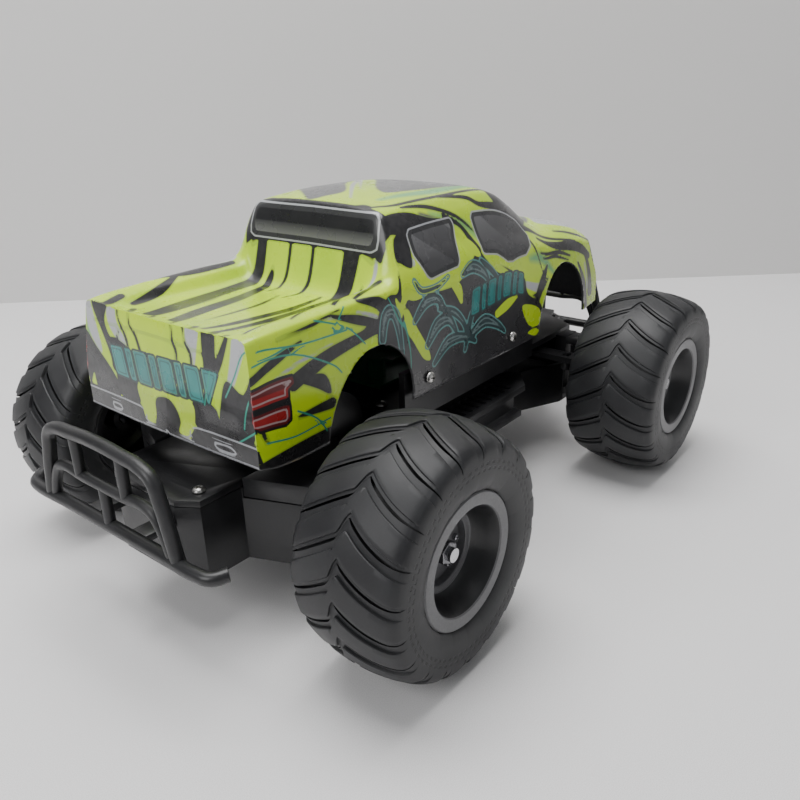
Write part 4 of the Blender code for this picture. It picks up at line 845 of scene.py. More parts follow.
def smoothed(shape, closed):
    """The shape with three points added between each two, along a curve through them all."""
    points = [np.array(point, float) for point in shape]
    count = len(points)
    if count < 3:
        return [tuple(point) for point in points]
    made = []
    for i in range(count if closed else count - 1):
        a, b = points[i], points[(i + 1) % count]
        before = points[i - 1] if closed or i else a
        after = points[(i + 2) % count] if closed or i + 2 < count else b
        for t in (0.0, 0.25, 0.5, 0.75):
            bend = (b - before) * t * (1 - t) ** 2 - (after - a) * t * t * (1 - t)
            made.append(tuple(a + (b - a) * t * t * (3 - 2 * t) + bend * 0.5))
    return made if closed else made + [tuple(points[-1])]


def lines_side(p, strokes):
    """Distance to the nearest of many thin lines, signed by the side on which a point lies.

    It stays exact between two grid points, where an unsigned distance would lose the line."""
    best, signed = np.full(len(p), FAR), np.full(len(p), FAR)
    for stroke in strokes:
        drawn = smoothed(stroke, False)
        for start, end in zip(drawn, drawn[1:]):
            _, gap = along_segment(p, start, end)
            dx, dy = end[0] - start[0], end[1] - start[1]
            across = ((p[:, 0] - start[0]) * dy - (p[:, 1] - start[1]) * dx) / math.hypot(dx, dy)
            signed = np.where(gap < best, across, signed)
            best = np.minimum(best, gap)
    return signed


def shapes_distance(p, shapes, curved=True):
    """The nearest of many strokes (three numbers a point) and patches (two numbers a point)."""
    best = np.full(len(p), FAR)
    for shape in shapes:
        line = len(shape[0]) == 3
        drawn = smoothed(shape, not line) if curved else shape
        best = np.minimum(best, (stroke_distance if line else patch_distance)(p, drawn))
    return best


# %% Shapes on the bed, roof and hood
TOP = {
    "dark": [
        [(-112, -4, 2.6), (-98, -9, 3.4), (-75, -14, 3), (-52, -20, 1.8)],
        [(-112, -18, 3.2), (-97, -22, 4.2), (-76, -26, 3.4), (-52, -28, 3), (-43, -27, 2.6)],
        [(-112, 20, 1.2), (-90, 21, 2.2), (-70, 21, 3), (-52, 22, 3.6), (-43, 25, 4.2)],
        [(-113, 13, 1), (-96, 14.5, 2), (-74, 15, 1.8), (-56, 13, 0.8)],
        [(-64, 0, 0.4), (-52, 2, 0.9), (-43, 3, 0.7)],
        [(-60, -13, 0.4), (-50, -11, 0.8), (-43, -10, 0.7)],
        [(-104, 3, 0.4), (-80, 1, 0.9), (-62, -4, 0.4)],
        [(-108, 32, 0.6), (-88, 32, 1), (-70, 31, 1.2)],
        [(-120, 36, 0.5), (-100, 35, 1.2), (-84, 36.5, 0.8), (-60, 34, 0.6)],
        [(-80, 46, 0.8), (-64, 37, 1.6), (-52, 31, 1)],
        [(-100, 45, 0.4), (-86, 41, 1.1), (-70, 40, 0.4)],
        [(-118, 41, 0.5), (-104, 40, 0.9), (-92, 38, 0.4)], [(-70, 47, 0.6), (-52, 41, 1.8)],
        [(-110, -33, 1.2), (-96, -37, 2), (-84, -43, 1)],
        [(-112, -54, 2), (-84, -52, 3), (-55, -50, 2.4)],
        [(-96, -48, 1), (-80, -44, 2.8), (-56, -42, 1.6)], [(-124, -19, 0.5), (-113, -28, 1.2)],
        [(-124, 5, 0.4), (-113, -2, 0.7)], [(-124, 15, 0.5), (-113, 9, 1.2)],
        [(-124, 26, 1), (-113, 20, 1.6)], [(-124, 36, 1.6), (-114, 27, 1)],
        [(-124, -8, 0.4), (-114, -14, 0.8)],
        [(-124, -33, 1.2), (-112, -38, 1.4)],
        [(-47, 22, 0.5), (-38, 29, 0.8), (-28, 32.5, 0.9), (0, 33.4, 0.9), (36, 32.5, 1)],
        [(8, -46.5, 0.4), (30, -46, 0.8), (46, -41, 0.9), (56, -27, 0.9), (60, -8, 1),
         (66, 2, 1.6)],
        [(20, -51, 0.4), (44, -47, 0.9), (58, -38, 0.9), (68, -26, 0.8), (78, -36, 0.5)],
        [(-43, 36), (-30, 37), (-18, 42), (-8, 44), (-12, 46), (-33, 46), (-44, 42)],
        [(-30, 34.6, 0.6), (-16, 37.5, 1), (0, 44, 0.8), (10, 52, 0.5)],
        [(-5, 34, 0.6), (12, 37, 1.1), (20, 41, 1.3), (36, 42, 2.4), (52, 41, 3.4)],
        [(30, 33), (44, 25), (52, 14), (62, 18), (68, 28), (56, 42), (44, 46), (34, 42)],
        [(58, 8), (70, -3), (84, -12), (118, -40), (118, 0), (98, 12), (78, 27), (66, 34),
         (60, 26)],
        [(46, 48, 1.6), (60, 44, 1.4), (78, 46, 0.8), (98, 49, 0.7)],
        [(84, 41, 0.5), (100, 44, 1), (116, 47, 0.8)],
        [(60, 56, 0.5), (76, 53, 1), (90, 56, 0.6)],
        [(104, 52, 0.5), (110, 60, 2), (113, 76, 2.8)],
        [(-46, -34, 1.6), (-44, -10, 0.9), (-44, 10, 0.9), (-46, 34, 1.6)],
        [(-40, -56, 1.5), (-10, -50, 1.2), (30, -58, 2)],
    ],
    "ash": [
        [(-41, -3), (-38, -10), (-14, -36), (16, -36), (18, -31), (-6, -16), (-26, 2), (-36, 0)],
        [(-18, 13), (-8, 3), (12, -14), (32, -33), (42, -34), (48, -24), (49, 2), (42, 20),
         (20, 25), (-17, 21)],
        [(70, 4), (100, -18), (118, -30), (118, -4), (96, 8), (76, 22), (68, 16)],
        [(-98, -18.6, 1), (-84, -21, 1.4), (-74, -24, 0.6)], [(-110, 28.6, 0.5), (-76, 28, 0.8)],
        [(-22, 40, 1.2), (-10, 45, 1)], [(60, 35, 1.2), (84, 24, 1.6), (104, 10, 1.2)],
    ],
    "pale": [
        [(84, 31), (96, 20), (118, 5), (118, 36), (96, 37)],
        [(-94, -46.5, 2), (-74, -46, 3.4), (-52, -45, 2)],
        [(-34, 12, 0.5), (-10, -8, 1), (24, -33, 0.6)],
        [(-20, 5, 0.3), (4, -16, 0.8), (20, -30, 0.3)],
        [(-30, 44, 0.3), (-21, 42.2, 0.7)], [(-66, 43.5, 0.5), (-55, 39, 1.2), (-48, 36, 0.8)],
    ],
    "leaf": [
        [(72, -21, 1), (90, -32, 3), (116, -47, 1)],
        [(-30, 24, 1), (0, 28, 3), (38, 25, 1.5)],
        [(44, -36, 0.8), (53, -18, 2), (50, 6, 1.6), (44, 20, 0.8)],
        [(-16, 40.5, 0.5), (4, 48, 1.6), (10, 54, 0.8)],
        [(-70, 35.5, 0.6), (-88, 34, 0.6)], [(50, 62, 1), (62, 58, 2.4), (72, 63, 1)],
    ],
}

# %% Shapes on the flanks
FLANK_SHAPES = {
    "dark": [
        [(-124, 57.5, 1.4), (-112, 56, 1.5), (-100, 54, 0.5)],
        [(-106, 66, 2.8), (-86, 62.5, 2.4), (-58, 61, 1.6)],
        [(-104, 66), (-92, 68), (-90, 76), (-96, 72)],
        [(-84, 50.5, 0.5), (-72, 55, 1.8), (-60, 60, 1.4)],
        [(-70, 48.5, 0.8), (-60, 52, 2.4), (-54, 58, 3)],
        [(-130, 86, 1.6), (-112, 89.5, 3), (-90, 92, 4), (-84, 96, 6)],
        [(-106, 78, 0.6), (-96, 79, 1.6), (-90, 79.5, 2)],
        [(-62, 60), (-56, 52), (-50, 50), (-45, 53), (-47, 60), (-40, 66), (-30, 70), (-10, 71),
         (4, 62), (8, 60),
         (14, 66), (24, 69), (36, 72), (44, 73), (46, 80), (60, 84), (61, 114), (-66, 114),
         (-64, 90)],
        [(-34, 46), (-37, 58), (-44, 52), (-42, 45)], [(-8, 43, 1.4), (2, 49, 1), (8, 60, 2.2)],
        [(48, 46, 1.5), (56, 56, 0.7), (62, 66, 0.4)],
        [(62, 48, 1), (80, 50, 2.2), (100, 52, 2.8), (112, 56, 2)],
        [(66, 60, 0.6), (60, 70, 2), (54, 80, 1.8)],
        [(98, 60, 0.8), (104, 70, 2), (108, 84, 2.2)],
        [(86, 60, 0.5), (96, 66, 1.4), (99, 76, 0.8)], [(-124, 68, 1), (-120, 80, 0.6)],
        [(62, 58, 0.5), (74, 55, 0.8), (88, 58, 0.4)],
        [(66, 66, 0.4), (58, 75, 1), (50, 80, 0.5)],
        [(-110, 50, 0.3), (-96, 50.5, 0.7), (-80, 49, 0.3)],
    ],
    "lime": [
        [(-50, 52, 0.6), (-47, 60, 1.4), (-40, 68, 1.8), (-31, 70, 0.4)],
        [(-46, 66, 0.5), (-42, 80, 2.2), (-36, 92, 2.4), (-33, 96, 0.6)],
        [(-15, 70, 0.4), (-10, 73, 2.6), (-8, 79, 1)],
        [(14, 65.5, 0.4), (22, 70, 1.8), (34, 74, 0.5)],
        [(18, 90, 1.8), (27, 87, 2.2), (36, 83, 0.6)], [(40, 87), (56, 84), (56, 92), (46, 95)],
        [(46, 99, 0.6), (52, 97, 1.8), (56, 95, 0.4)],
        [(-58, 70, 0.5), (-52, 80, 1), (-49, 88, 0.5)],
        [(-4, 50), (6, 56), (9, 63), (2, 60)],
    ],
    "pale": [
        [(-41, 51, 2.2), (-36, 56, 1.8)], [(-72, 52, 0.3), (-62, 57, 1), (-58, 62, 0.4)],
        [(-116, 62, 0.3), (-104, 60.5, 0.6), (-86, 59.5, 0.3)], [(28, 92, 0.5), (44, 88, 0.9)],
        [(42, 76, 1.4), (56, 74, 2.2), (60, 70, 1)], [(106, 60, 0.6), (109, 74, 0.9)],
        [(-88, 50, 0.3), (-76, 53, 0.7), (-66, 57, 0.3)],
    ],
    "swirl": [
        [(-60, 66, 1.2), (-57, 58, 1.8), (-52, 57, 2), (-50, 64, 1.2), (-50, 74, 0.6)],
        [(-40, 78, 0.8), (-32, 73, 1.8), (-24, 74, 1.4), (-20, 80, 0.8)],
        [(-34, 90, 1), (-26, 84, 2.2), (-18, 84, 1.8), (-14, 90, 0.8)],
        [(-30, 99, 0.8), (-20, 93, 2), (-8, 94, 1.4), (0, 98, 0.6)],
        [(-24, 78, 0.5), (-14, 82, 1.4), (-8, 88, 1), (-6, 96, 0.5)],
        [(-6, 68, 0.8), (2, 66, 2.2), (10, 70, 1.6), (14, 75, 0.5)],
        [(-2, 94, 1.6), (8, 91, 2.4), (18, 95, 1.4), (24, 99, 0.5)],
        [(-8, 100, 0.6), (-3, 88, 1.2), (2, 83, 0.5)],
        [(8, 64, 0.4), (16, 70, 1), (24, 77, 0.4)],
        [(-38, 62.8, 0.4), (-34, 68, 0.8), (-24, 69, 0.8), (-16, 66.6, 0.3)],
    ],
    "teal": [
        [(-2, 86.5), (1, 76), (7, 75), (4, 86)], [(6, 86), (9, 75), (12, 74.6), (9, 85.6)],
        [(11, 85.4), (14, 74.4), (20, 73.6), (17, 84.6)],
        [(19, 84.4), (22, 73.4), (25, 73), (22, 84)],
        [(24, 83.6), (27, 72.8), (33, 72), (30, 82.8)],
        [(32, 82.6), (35, 71.8), (38, 71.2), (35, 82)],
        [(37, 81.6), (39.6, 71.4), (43, 71), (41.6, 81)],
    ],
    "line": [
        [(-122, 53, 0.35), (-104, 57, 0.35), (-88, 66, 0.35), (-84, 70, 0.35)],
        [(-118, 50, 0.3), (-100, 55, 0.35), (-76, 57, 0.35)],
        [(-92, 49.5, 0.3), (-78, 56, 0.35), (-70, 64, 0.3)],
        [(-106, 76, 0.3), (-98, 82, 0.35), (-94, 88, 0.3)],
        [(-54, 52, 0.3), (-47, 66, 0.4), (-45, 84, 0.4), (-46, 96, 0.3)],
        [(-120, 80, 0.3), (-108, 84, 0.3), (-92, 84.5, 0.3)], [(-84, 54.5, 0.25), (-78, 49, 0.3)],
    ],
    "glass": [
        [(-32, 44.6), (-5, 44.6), (-4, 47), (-7.5, 62), (-9, 63.4), (-27, 64.4), (-29, 63),
         (-33, 54), (-33.4, 46)],
        [(10.6, 46), (12, 44.4), (47, 44.8), (53, 49), (51, 55), (46, 60.6), (34, 66.4),
         (30, 66.8), (22, 63), (12, 61.6)],
    ],
    "lamp": [[(-127, 60), (-111, 62.6), (-106, 63.6), (-106, 66), (-109.2, 66.8), (-109.5, 69.6),
         (-127, 65.6)],
             [(-127, 67.8), (-109.6, 71.8), (-110, 77), (-112, 77.6), (-127, 72.6)]],
}

# %% Shapes on the tail (y across, height)
TAIL = {
    "dark": [
        [(24.4, 120, 0.5), (24, 115, 0.5), (21, 111, 0.6), (18.6, 107, 0.8), (18, 104, 0.7)],
        [(17.4, 120, 0.5), (17, 114, 0.5), (13, 110, 0.7), (10, 104, 0.8)],
        [(-6, 121, 0.5), (-8, 116, 0.5), (-8.6, 112, 0.6), (-10.6, 109, 0.7), (-10.6, 103, 0.6)],
        [(-13, 121, 0.5), (-14.6, 116, 0.5), (-15.4, 113, 0.5), (-18.4, 109, 0.7),
         (-18.6, 103, 0.6)],
        [(41, 117), (38, 121), (30, 121), (33, 112), (28, 106), (22, 112), (26, 104), (18, 104),
         (20, 92), (26, 88),
         (24, 84), (14, 84), (14.6, 92), (28, 94), (30, 99), (34, 106)],
        [(-24, 121), (-30, 121), (-31, 113), (-30, 104), (-25, 104), (-25.6, 112)],
        [(-37, 119, 0.8), (-33, 110, 1.6), (-29, 103, 1.6)],
        [(-20, 93), (-31, 93), (-28, 84), (-20, 84)],
        [(-36, 104), (-44, 101), (-49, 110), (-49, 88), (-43, 84), (-32, 84), (-33, 95)],
        [(49, 106), (40, 101), (28, 92), (27, 84), (42, 84), (44, 90), (48, 84), (50, 84)],
        [(60, 83.6), (13, 83.6), (9, 78), (8, 76), (12, 70), (60, 70)],
        [(-60, 83.6), (-19, 83.6), (-15, 78), (-10, 70), (-60, 70)],
        [(3.4, 88), (0, 90.4), (-6, 90.4), (-10, 85), (-8, 78.5), (5, 78.5)],
        [(18, 93.4), (13.6, 93.4), (14, 84), (24, 84), (27, 93.4)],
        [(-19, 94), (-29, 94), (-31, 84), (-19, 84)],
        [(31, 106), (26, 107), (18.6, 104.6), (30.4, 104)],
        [(-24, 121), (-29.6, 121), (-29.4, 106), (-25.4, 106)],
        [(8, 78.2), (-13, 78.2), (-10, 70), (9, 70)],
        [(40, 111.5, 0.2), (0, 111.8, 0.25), (-28, 111, 0.2)],
    ],
    "pale": [
        [(31, 119), (26, 118), (25, 113), (20, 108), (19.4, 105), (23, 105), (28, 109), (31, 113)],
        [(-16, 120), (-22, 119.6), (-21.6, 112), (-20, 104), (-19.2, 104), (-19, 109),
         (-15.8, 113)],
        [(-40, 120), (-46, 120), (-42, 108), (-36, 95), (-35, 96), (-38, 110)],
        [(46, 118), (43, 120), (40, 112), (36, 100), (40, 101), (45, 108)],
        [(-22, 100, 0.9), (-22, 94, 0.4)],
    ],
    "ash": [[(-20, 92), (-26, 92), (-24, 84), (-20, 84)], [(44, 98, 3), (40, 88, 2.6)],
        [(-38, 97, 2), (-42, 91, 1.4)]],
    "teal": [
        [(30, 103.6), (22.4, 104), (19, 93.2), (26.6, 93.4)],
        [(20.6, 104.2), (17, 104.4), (13.8, 93), (17.2, 93.2)],
        [(15.2, 104.4), (7.6, 104.6), (4.4, 93.2), (12, 93.2)],
        [(5.8, 104.6), (2.2, 104.8), (-0.8, 93.2), (2.6, 93.2)],
        [(0.4, 104.8), (-7.2, 105), (-10.2, 93.4), (-2.6, 93.4)],
        [(-9, 105), (-12.6, 105.2), (-15.4, 93.6), (-12, 93.6)],
        [(-14.4, 105.2), (-22, 105.4), (-24.6, 93.8), (-17.2, 93.8)],
        [(-23.8, 105.4), (-32, 105.6), (-27.4, 94.2), (-26.4, 94.2)],
    ],
    "line": [
        [(-50, 117, 0.4), (-44, 114, 0.4), (-40, 106, 0.4), (-36, 99, 0.35)],
        [(-28, 105, 0.3), (-25, 94, 0.35)],
        [(-50, 90, 0.35), (-44, 86, 0.35), (-41, 84, 0.3)],
        [(-52, 110, 0.3), (-46, 98, 0.35), (-44, 90, 0.3)],
    ],
    "leaf": [[(6, 86, 1), (9, 81, 1.6)], [(44, 110, 1.6), (46, 100, 1)]],
    "lime": [[(13.6, 92), (5, 92), (4, 84), (6, 79), (11, 79), (12.6, 84)],
        [(-11, 92), (-18.6, 92), (-18, 84), (-14, 79), (-8.6, 79), (-11, 85)]],
    "lamp": [[(-47.2, 104), (-60, 104.6), (-60, 99), (-47.5, 98.6)],
        [(-47.7, 96.8), (-60, 97.2), (-60, 92), (-48, 91.6)],
             [(47.2, 104), (60, 104.6), (60, 99), (47.5, 98.6)],
        [(47.7, 96.8), (60, 97.2), (60, 92), (48, 91.6)]],
    "rail": [[(60, 83.2, 0.35), (14, 83.4, 0.35), (10, 78.2, 0.35), (-13, 78.2, 0.35),
         (-19, 83.4, 0.35), (-60, 83.4, 0.35)],
             [(33, 80.4, 0.3), (28, 80.4, 0.3), (27.4, 78.6, 0.3), (33, 78.4, 0.3),
         (33, 80.4, 0.3)],
             [(-28, 80.4, 0.3), (-36, 80.6, 0.3), (-38, 78.6, 0.3), (-29, 78.4, 0.3),
         (-28, 80.4, 0.3)],
             [(60, 76.6, 0.4), (-60, 76.6, 0.4)]],
}
print("shapes:", sum(len(v) for group in (TOP, FLANK_SHAPES, TAIL) for v in group.values()))

# %% Distances for every point of the body
INKS = ("dark", "ash", "pale", "leaf", "swirl", "teal", "line", "glass", "lamp", "lime", "rail",
        "line_side", "rail_side", "band")
STRAIGHT = ("glass", "lamp", "teal", "rail", "band")


REAR_WINDOW = [(-40, 132.5), (33.0, 131.8), (35.4, 133.2), (34.2, 142.4), (32.4, 144.4),
               (-40, 145.2)]
REAR_WINDOW_SURROUND = [(-40, 130.8), (34.0, 130.0), (38.4, 127.0), (39.5, 133), (36.5, 143.4),
                        (33, 147.4), (-40, 147.6)]
REAR_WINDOW_BAND = [(-40, 138.6), (60, 137.8), (60, 150), (-40, 150)]
CAB_BACK = (-51, -40.5)                              # from and to, along the truck
NOSE = {
    "dark": [
        [(-60, 110), (-18, 113), (-22, 92), (-60, 90)], [(18, 113), (60, 110), (60, 90), (22, 92)],
        [(-60, 84, 3.0), (0, 81, 4.0), (60, 84, 3.0)],
    ],
    "pale": [[(-40, 101, 4.0), (-28, 103, 3.0)], [(40, 101, 4.0), (28, 103, 3.0)]],
    "rail": [[(-30, 89, 0.5), (30, 89, 0.5)], [(-18, 96, 0.4), (18, 96, 0.4)]],
}


def all_inks(points, shapes):
    """Every ink's distances for points, and the sides of its thin lines."""
    inks = {ink: shapes_distance(points, shapes.get(ink, []), ink not in STRAIGHT) for ink in INKS}
    for ink in ("line", "rail"):
        inks[ink + "_side"] = lines_side(points, shapes.get(ink, []))
    return inks


def sheet_inks():
    """The distances for the sheet: crown and flank shapes, and the window behind the cab."""
    x, v = sheet[..., 0].ravel(), reach_v.ravel()
    crown = all_inks(np.stack([x, v], axis=1), TOP)
    flank = all_inks(np.stack([x, np.abs(v)], axis=1), FLANK_SHAPES)
    inks = {ink: flank[ink] if ink.endswith("_side") else np.minimum(crown[ink], flank[ink])
            for ink in INKS}
    away = np.where((x < CAB_BACK[1]) & (x > CAB_BACK[0]), 0.0, 20.0)
    back_points = np.stack([np.abs(sheet[..., 1]).ravel(), sheet[..., 2].ravel()], axis=1)
    for ink, outline in (("band", REAR_WINDOW_BAND), ("glass", REAR_WINDOW),
                         ("dark", REAR_WINDOW_SURROUND)):
        inks[ink] = np.minimum(inks[ink], patch_distance(back_points, outline) + away)
    return {ink: values.reshape(sheet.shape[:2]) for ink, values in inks.items()}


def panel_inks(panel, shapes):
    """The distances for an end panel, whose shapes are drawn as y across and height."""
    inks = all_inks(panel[..., 1:].reshape(-1, 2), shapes)
    return {ink: values.reshape(panel.shape[:2]) for ink, values in inks.items()}


# %% Build the body skin
def skin_piece(name, points, inks, remove=None):
    """A grid with its points at (columns, rows) places and its ink distances stored on them."""
    columns_here, rows_here = points.shape[0] - 1, points.shape[1] - 1
    piece, at_column, at_row = grid_piece(name, columns_here, rows_here)
    places = (points - (0, 0, LOWERED)) * MM
    move_points(piece, places[at_column, at_row])
    for ink in INKS:
        layer = piece.data.attributes.new("ink_" + ink, "FLOAT", "POINT")
        layer.data.foreach_set("value", inks[ink][at_column, at_row].astype(np.float32))
    if remove is not None:
        gone = remove[at_column, at_row]
        pick(piece)
        bpy.ops.object.mode_set(mode="EDIT")
        bpy.ops.mesh.select_all(action="DESELECT")
        bpy.ops.object.mode_set(mode="OBJECT")
        piece.data.vertices.foreach_set("select", gone)
        bpy.ops.object.mode_set(mode="EDIT")
        bpy.ops.mesh.delete(type="VERT")
        bpy.ops.object.mode_set(mode="OBJECT")
    return piece


sheet_piece = skin_piece("skin_sheet", sheet, sheet_inks(), removed)
tail_piece = skin_piece("skin_tail", tail, panel_inks(tail, TAIL))
nose_piece = skin_piece("skin_nose", nose, panel_inks(nose, NOSE))
body_skin = join("printed_body", [sheet_piece, tail_piece, nose_piece])
finish_mesh(body_skin, 60)
crown_face = max(body_skin.data.polygons, key=lambda polygon: polygon.center.z)
if crown_face.normal.z < 0:
    body_skin.data.flip_normals()
print("body faces:", len(body_skin.data.polygons))

# %% [markdown]
# The layers are laid over each other in the order of printing: lime first, then soft greens and
# greys, charcoal, line work, windows and lamps. Window glass is only printed, so it gets a grey
# fade with slanted reflections drawn in it. Clear plastic over the print gives the gloss.

# %% Printed body material
LIME, DEEP_LIME = (0.60, 0.84, 0.012), (0.50, 0.74, 0.010)
RIBS_PER_METRE = 150.0
printed, tree, shader = bare_material("printed_shell_film")


def ink_share(ink, low=0.15, high=-0.15):
    """1 inside the shapes of an ink and 0 outside, across an edge low..high millimetres wide."""
    source = add_node(tree, "ShaderNodeAttribute", attribute_name="ink_" + ink)
    return source.outputs["Fac"], spread(tree, source.outputs["Fac"], high, low, 1.0, 0.0)


def edge_band(distance, near, far):
    """1 between two distances from an edge, with crisp borders."""
    inner = spread(tree, distance, near - 0.1, near + 0.1)
    outer = spread(tree, distance, far - 0.1, far + 0.1, 1.0, 0.0)
    return maths(tree, "MULTIPLY", inner, outer)


def outlined(below, distance, near, far, above):
    """A colour laid over another one between two distances from an edge."""
    return blend_colours(tree, edge_band(distance, near, far), below, above)


def thin_line(ink, half):
    """A line of even width, held near its own stroke by the distance to it."""
    source = add_node(tree, "ShaderNodeAttribute", attribute_name="ink_%s_side" % ink)
    across = maths(tree, "ABSOLUTE", source.outputs["Fac"])
    near, _ = ink_share(ink)
    return maths(tree, "MULTIPLY", spread(tree, across, half - 0.08, half + 0.12, 1.0, 0.0),
                 spread(tree, near, 0.5, 0.9, 1.0, 0.0))


where = tree.nodes.new("ShaderNodeTexCoord").outputs["Object"]
parts = add_node(tree, "ShaderNodeSeparateXYZ", {"Vector": where})
soft = add_node(tree, "ShaderNodeTexNoise", {"Vector": where}, Scale=38.0, Detail=4.0).outputs[0]
hairs = add_node(tree, "ShaderNodeTexNoise", {"Vector": where}, Scale=420.0, Detail=2.0).outputs[0]
colour = blend_colours(tree, spread(tree, soft, 0.35, 0.65), LIME, DEEP_LIME)
colour = blend_colours(tree, ink_share("leaf", 1.6, -1.2)[1], colour, (0.16, 0.46, 0.16))
ash = blend_colours(tree, spread(tree, soft, 0.3, 0.7), (0.075, 0.075, 0.08),
                    (0.14, 0.14, 0.145))
colour = blend_colours(tree, ink_share("ash", 0.7, -0.7)[1], colour, ash)
colour = blend_colours(tree, ink_share("pale", 0.4, -0.3)[1], colour, (0.46, 0.47, 0.49))
distance, share = ink_share("dark")
coal = blend_colours(tree, spread(tree, hairs, 0.35, 0.65), (0.012, 0.012, 0.013),
                     (0.026, 0.025, 0.027))
coal = blend_colours(tree, spread(tree, distance, -7.0, -2.0, 0.6, 0.0), coal,
                     (0.045, 0.044, 0.047))
fringe = maths(tree, "MULTIPLY", edge_band(distance, 0.0, 0.55), 0.45)
colour = blend_colours(tree, fringe, colour, (0.26, 0.42, 0.05))
colour = blend_colours(tree, share, colour, coal)
colour = blend_colours(tree, ink_share("lime")[1], colour, (0.52, 0.74, 0.015))
distance, share = ink_share("swirl")
colour = blend_colours(tree, share, colour, (0.030, 0.055, 0.058))
colour = outlined(colour, distance, 0.25, 0.95, (0.10, 0.26, 0.25))
colour = outlined(colour, distance, -1.5, -0.9, (0.13, 0.19, 0.19))
distance, share = ink_share("teal")
colour = outlined(colour, distance, 0.0, 0.8, (0.03, 0.05, 0.05))
teal_mix = blend_colours(tree, spread(tree, soft, 0.4, 0.6), (0.020, 0.20, 0.19),
                         (0.045, 0.27, 0.25))
colour = blend_colours(tree, share, colour, teal_mix)
colour = outlined(colour, distance, -1.2, -0.75, (0.03, 0.13, 0.13))
colour = blend_colours(tree, thin_line("line", 0.30), colour, (0.03, 0.30, 0.22))

# %% Windows, lamps and gloss
distance, share = ink_share("glass")
slant = add_node(tree, "ShaderNodeTexWave", {"Vector": where}, Scale=13.0, Distortion=0.6,
                 bands_direction="DIAGONAL")
streak = spread(tree, slant.outputs["Fac"], 0.55, 0.60)
fade = spread(tree, parts.outputs["Z"], 0.122, 0.136)
pane = blend_colours(tree, fade, (0.055, 0.055, 0.058), (0.19, 0.19, 0.195))
pane = blend_colours(tree, maths(tree, "MULTIPLY", streak, 0.5), pane, (0.022, 0.022, 0.024))
rear_fade = spread(tree, parts.outputs["Z"], 0.1285, 0.1345)
rear_pane = blend_colours(tree, rear_fade, (0.20, 0.20, 0.20), (0.035, 0.035, 0.037))
at_rear = spread(tree, parts.outputs["X"], -0.0412, -0.0408, 1.0, 0.0)
pane = blend_colours(tree, at_rear, pane, rear_pane)
pane = blend_colours(tree, ink_share("band")[1], pane, (0.010, 0.010, 0.011))
colour = blend_colours(tree, share, colour, pane)
colour = outlined(colour, distance, -1.5, 0.4, (0.035, 0.035, 0.037))
colour = outlined(colour, distance, 0.4, 1.1, (0.42, 0.43, 0.45))
colour = blend_colours(tree, thin_line("rail", 0.34), colour, (0.36, 0.37, 0.39))
distance, share = ink_share("lamp")
colour = outlined(colour, distance, -0.2, 1.0, (0.015, 0.015, 0.016))
ribs = maths(tree, "FRACT", maths(tree, "MULTIPLY", parts.outputs["Z"], RIBS_PER_METRE))
red = blend_colours(tree, spread(tree, ribs, 0.42, 0.50), (0.33, 0.018, 0.018),
                    (0.13, 0.010, 0.012))
colour = blend_colours(tree, share, colour, red)
colour = outlined(colour, distance, -1.5, -0.9, (0.42, 0.30, 0.30))
tree.links.new(colour, shader.inputs["Base Color"])
wear = add_node(tree, "ShaderNodeTexNoise", {"Vector": where}, Scale=90.0, Detail=6.0).outputs[0]
tree.links.new(spread(tree, wear, 0.3, 0.75, 0.22, 0.38), shader.inputs["Roughness"])
ripple = add_node(tree, "ShaderNodeBump", {"Height": soft})
ripple.inputs["Strength"].default_value = 1.0
ripple.inputs["Distance"].default_value = 0.0006
tree.links.new(ripple.outputs["Normal"], shader.inputs["Normal"])
shader.inputs["Coat Weight"].default_value = 0.3
shader.inputs["Coat Roughness"].default_value = 0.06
inside_finish = moulded("shell_inside_grey", (0.10, 0.10, 0.105), (0.2, 0.2, 0.2), 0.2,
                        500.0, 0.5)

# %% Give the skin its thickness
FILM_THICKNESS = 0.0011
dress(body_skin, printed, inside_finish)
wall_change = body_skin.modifiers.new("wall", "SOLIDIFY")
wall_change.thickness = FILM_THICKNESS
wall_change.offset = -1.0
wall_change.material_offset = 1
wall_change.material_offset_rim = 1
apply_all(body_skin)
hand_over(body_skin, "body", "body_shell")
print("printed body faces:", len(body_skin.data.polygons))

# %% [markdown]
# ## Bumpers
# Each bumper is moulded to look like bent round tube: a long lower bar, a hoop above it, an
# inner frame and short posts. Tubes drawn along smooth lines give true round corners, which a
# joined set of straight cylinders would not.

# %% Bumper bars
black_finish = moulded("chassis_black", (0.0085, 0.0085, 0.0095), (0.05, 0.05, 0.055), 0.12,
                       800.0, 0.38, bump=0.00003)
bumper_finish = moulded("bumper_black", (0.012, 0.012, 0.013), (0.06, 0.06, 0.065), 0.12,
                        1000.0, 0.40)
step_finish = moulded("step_black", (0.010, 0.010, 0.011), (0.06, 0.06, 0.065), 0.15,
                      900.0, 0.40)


def bar(name, points, radius):
    """A round bar with closed ends along a smooth line through the points."""
    line = bpy.data.curves.new(name, "CURVE")
    line.dimensions = "3D"
    line.bevel_depth = radius
    line.bevel_resolution = 5
    line.use_fill_caps = True
    line.resolution_u = 5
    spline = line.splines.new("BEZIER")
    spline.bezier_points.add(len(points) - 1)
    for knot, place in zip(spline.bezier_points, points):
        knot.co = place
        knot.handle_left_type = knot.handle_right_type = "AUTO"
    piece = add_object(name, line)
    pick(piece)
    bpy.ops.object.convert(target="MESH")
    return finish_mesh(bpy.context.object, 40)


LOWER_Z, MID_Z, HOOP_Z = 0.0475, 0.0630, 0.0790     # heights of the bars
REACH = 0.1523                                       # bars from the middle of the truck
BAR, THIN_BAR = 0.0025, 0.0020                       # radii
POST_Y = 0.014
TUB_ENDS = {"rear": 0.1383, "front": 0.1323}         # where the arms meet the tub


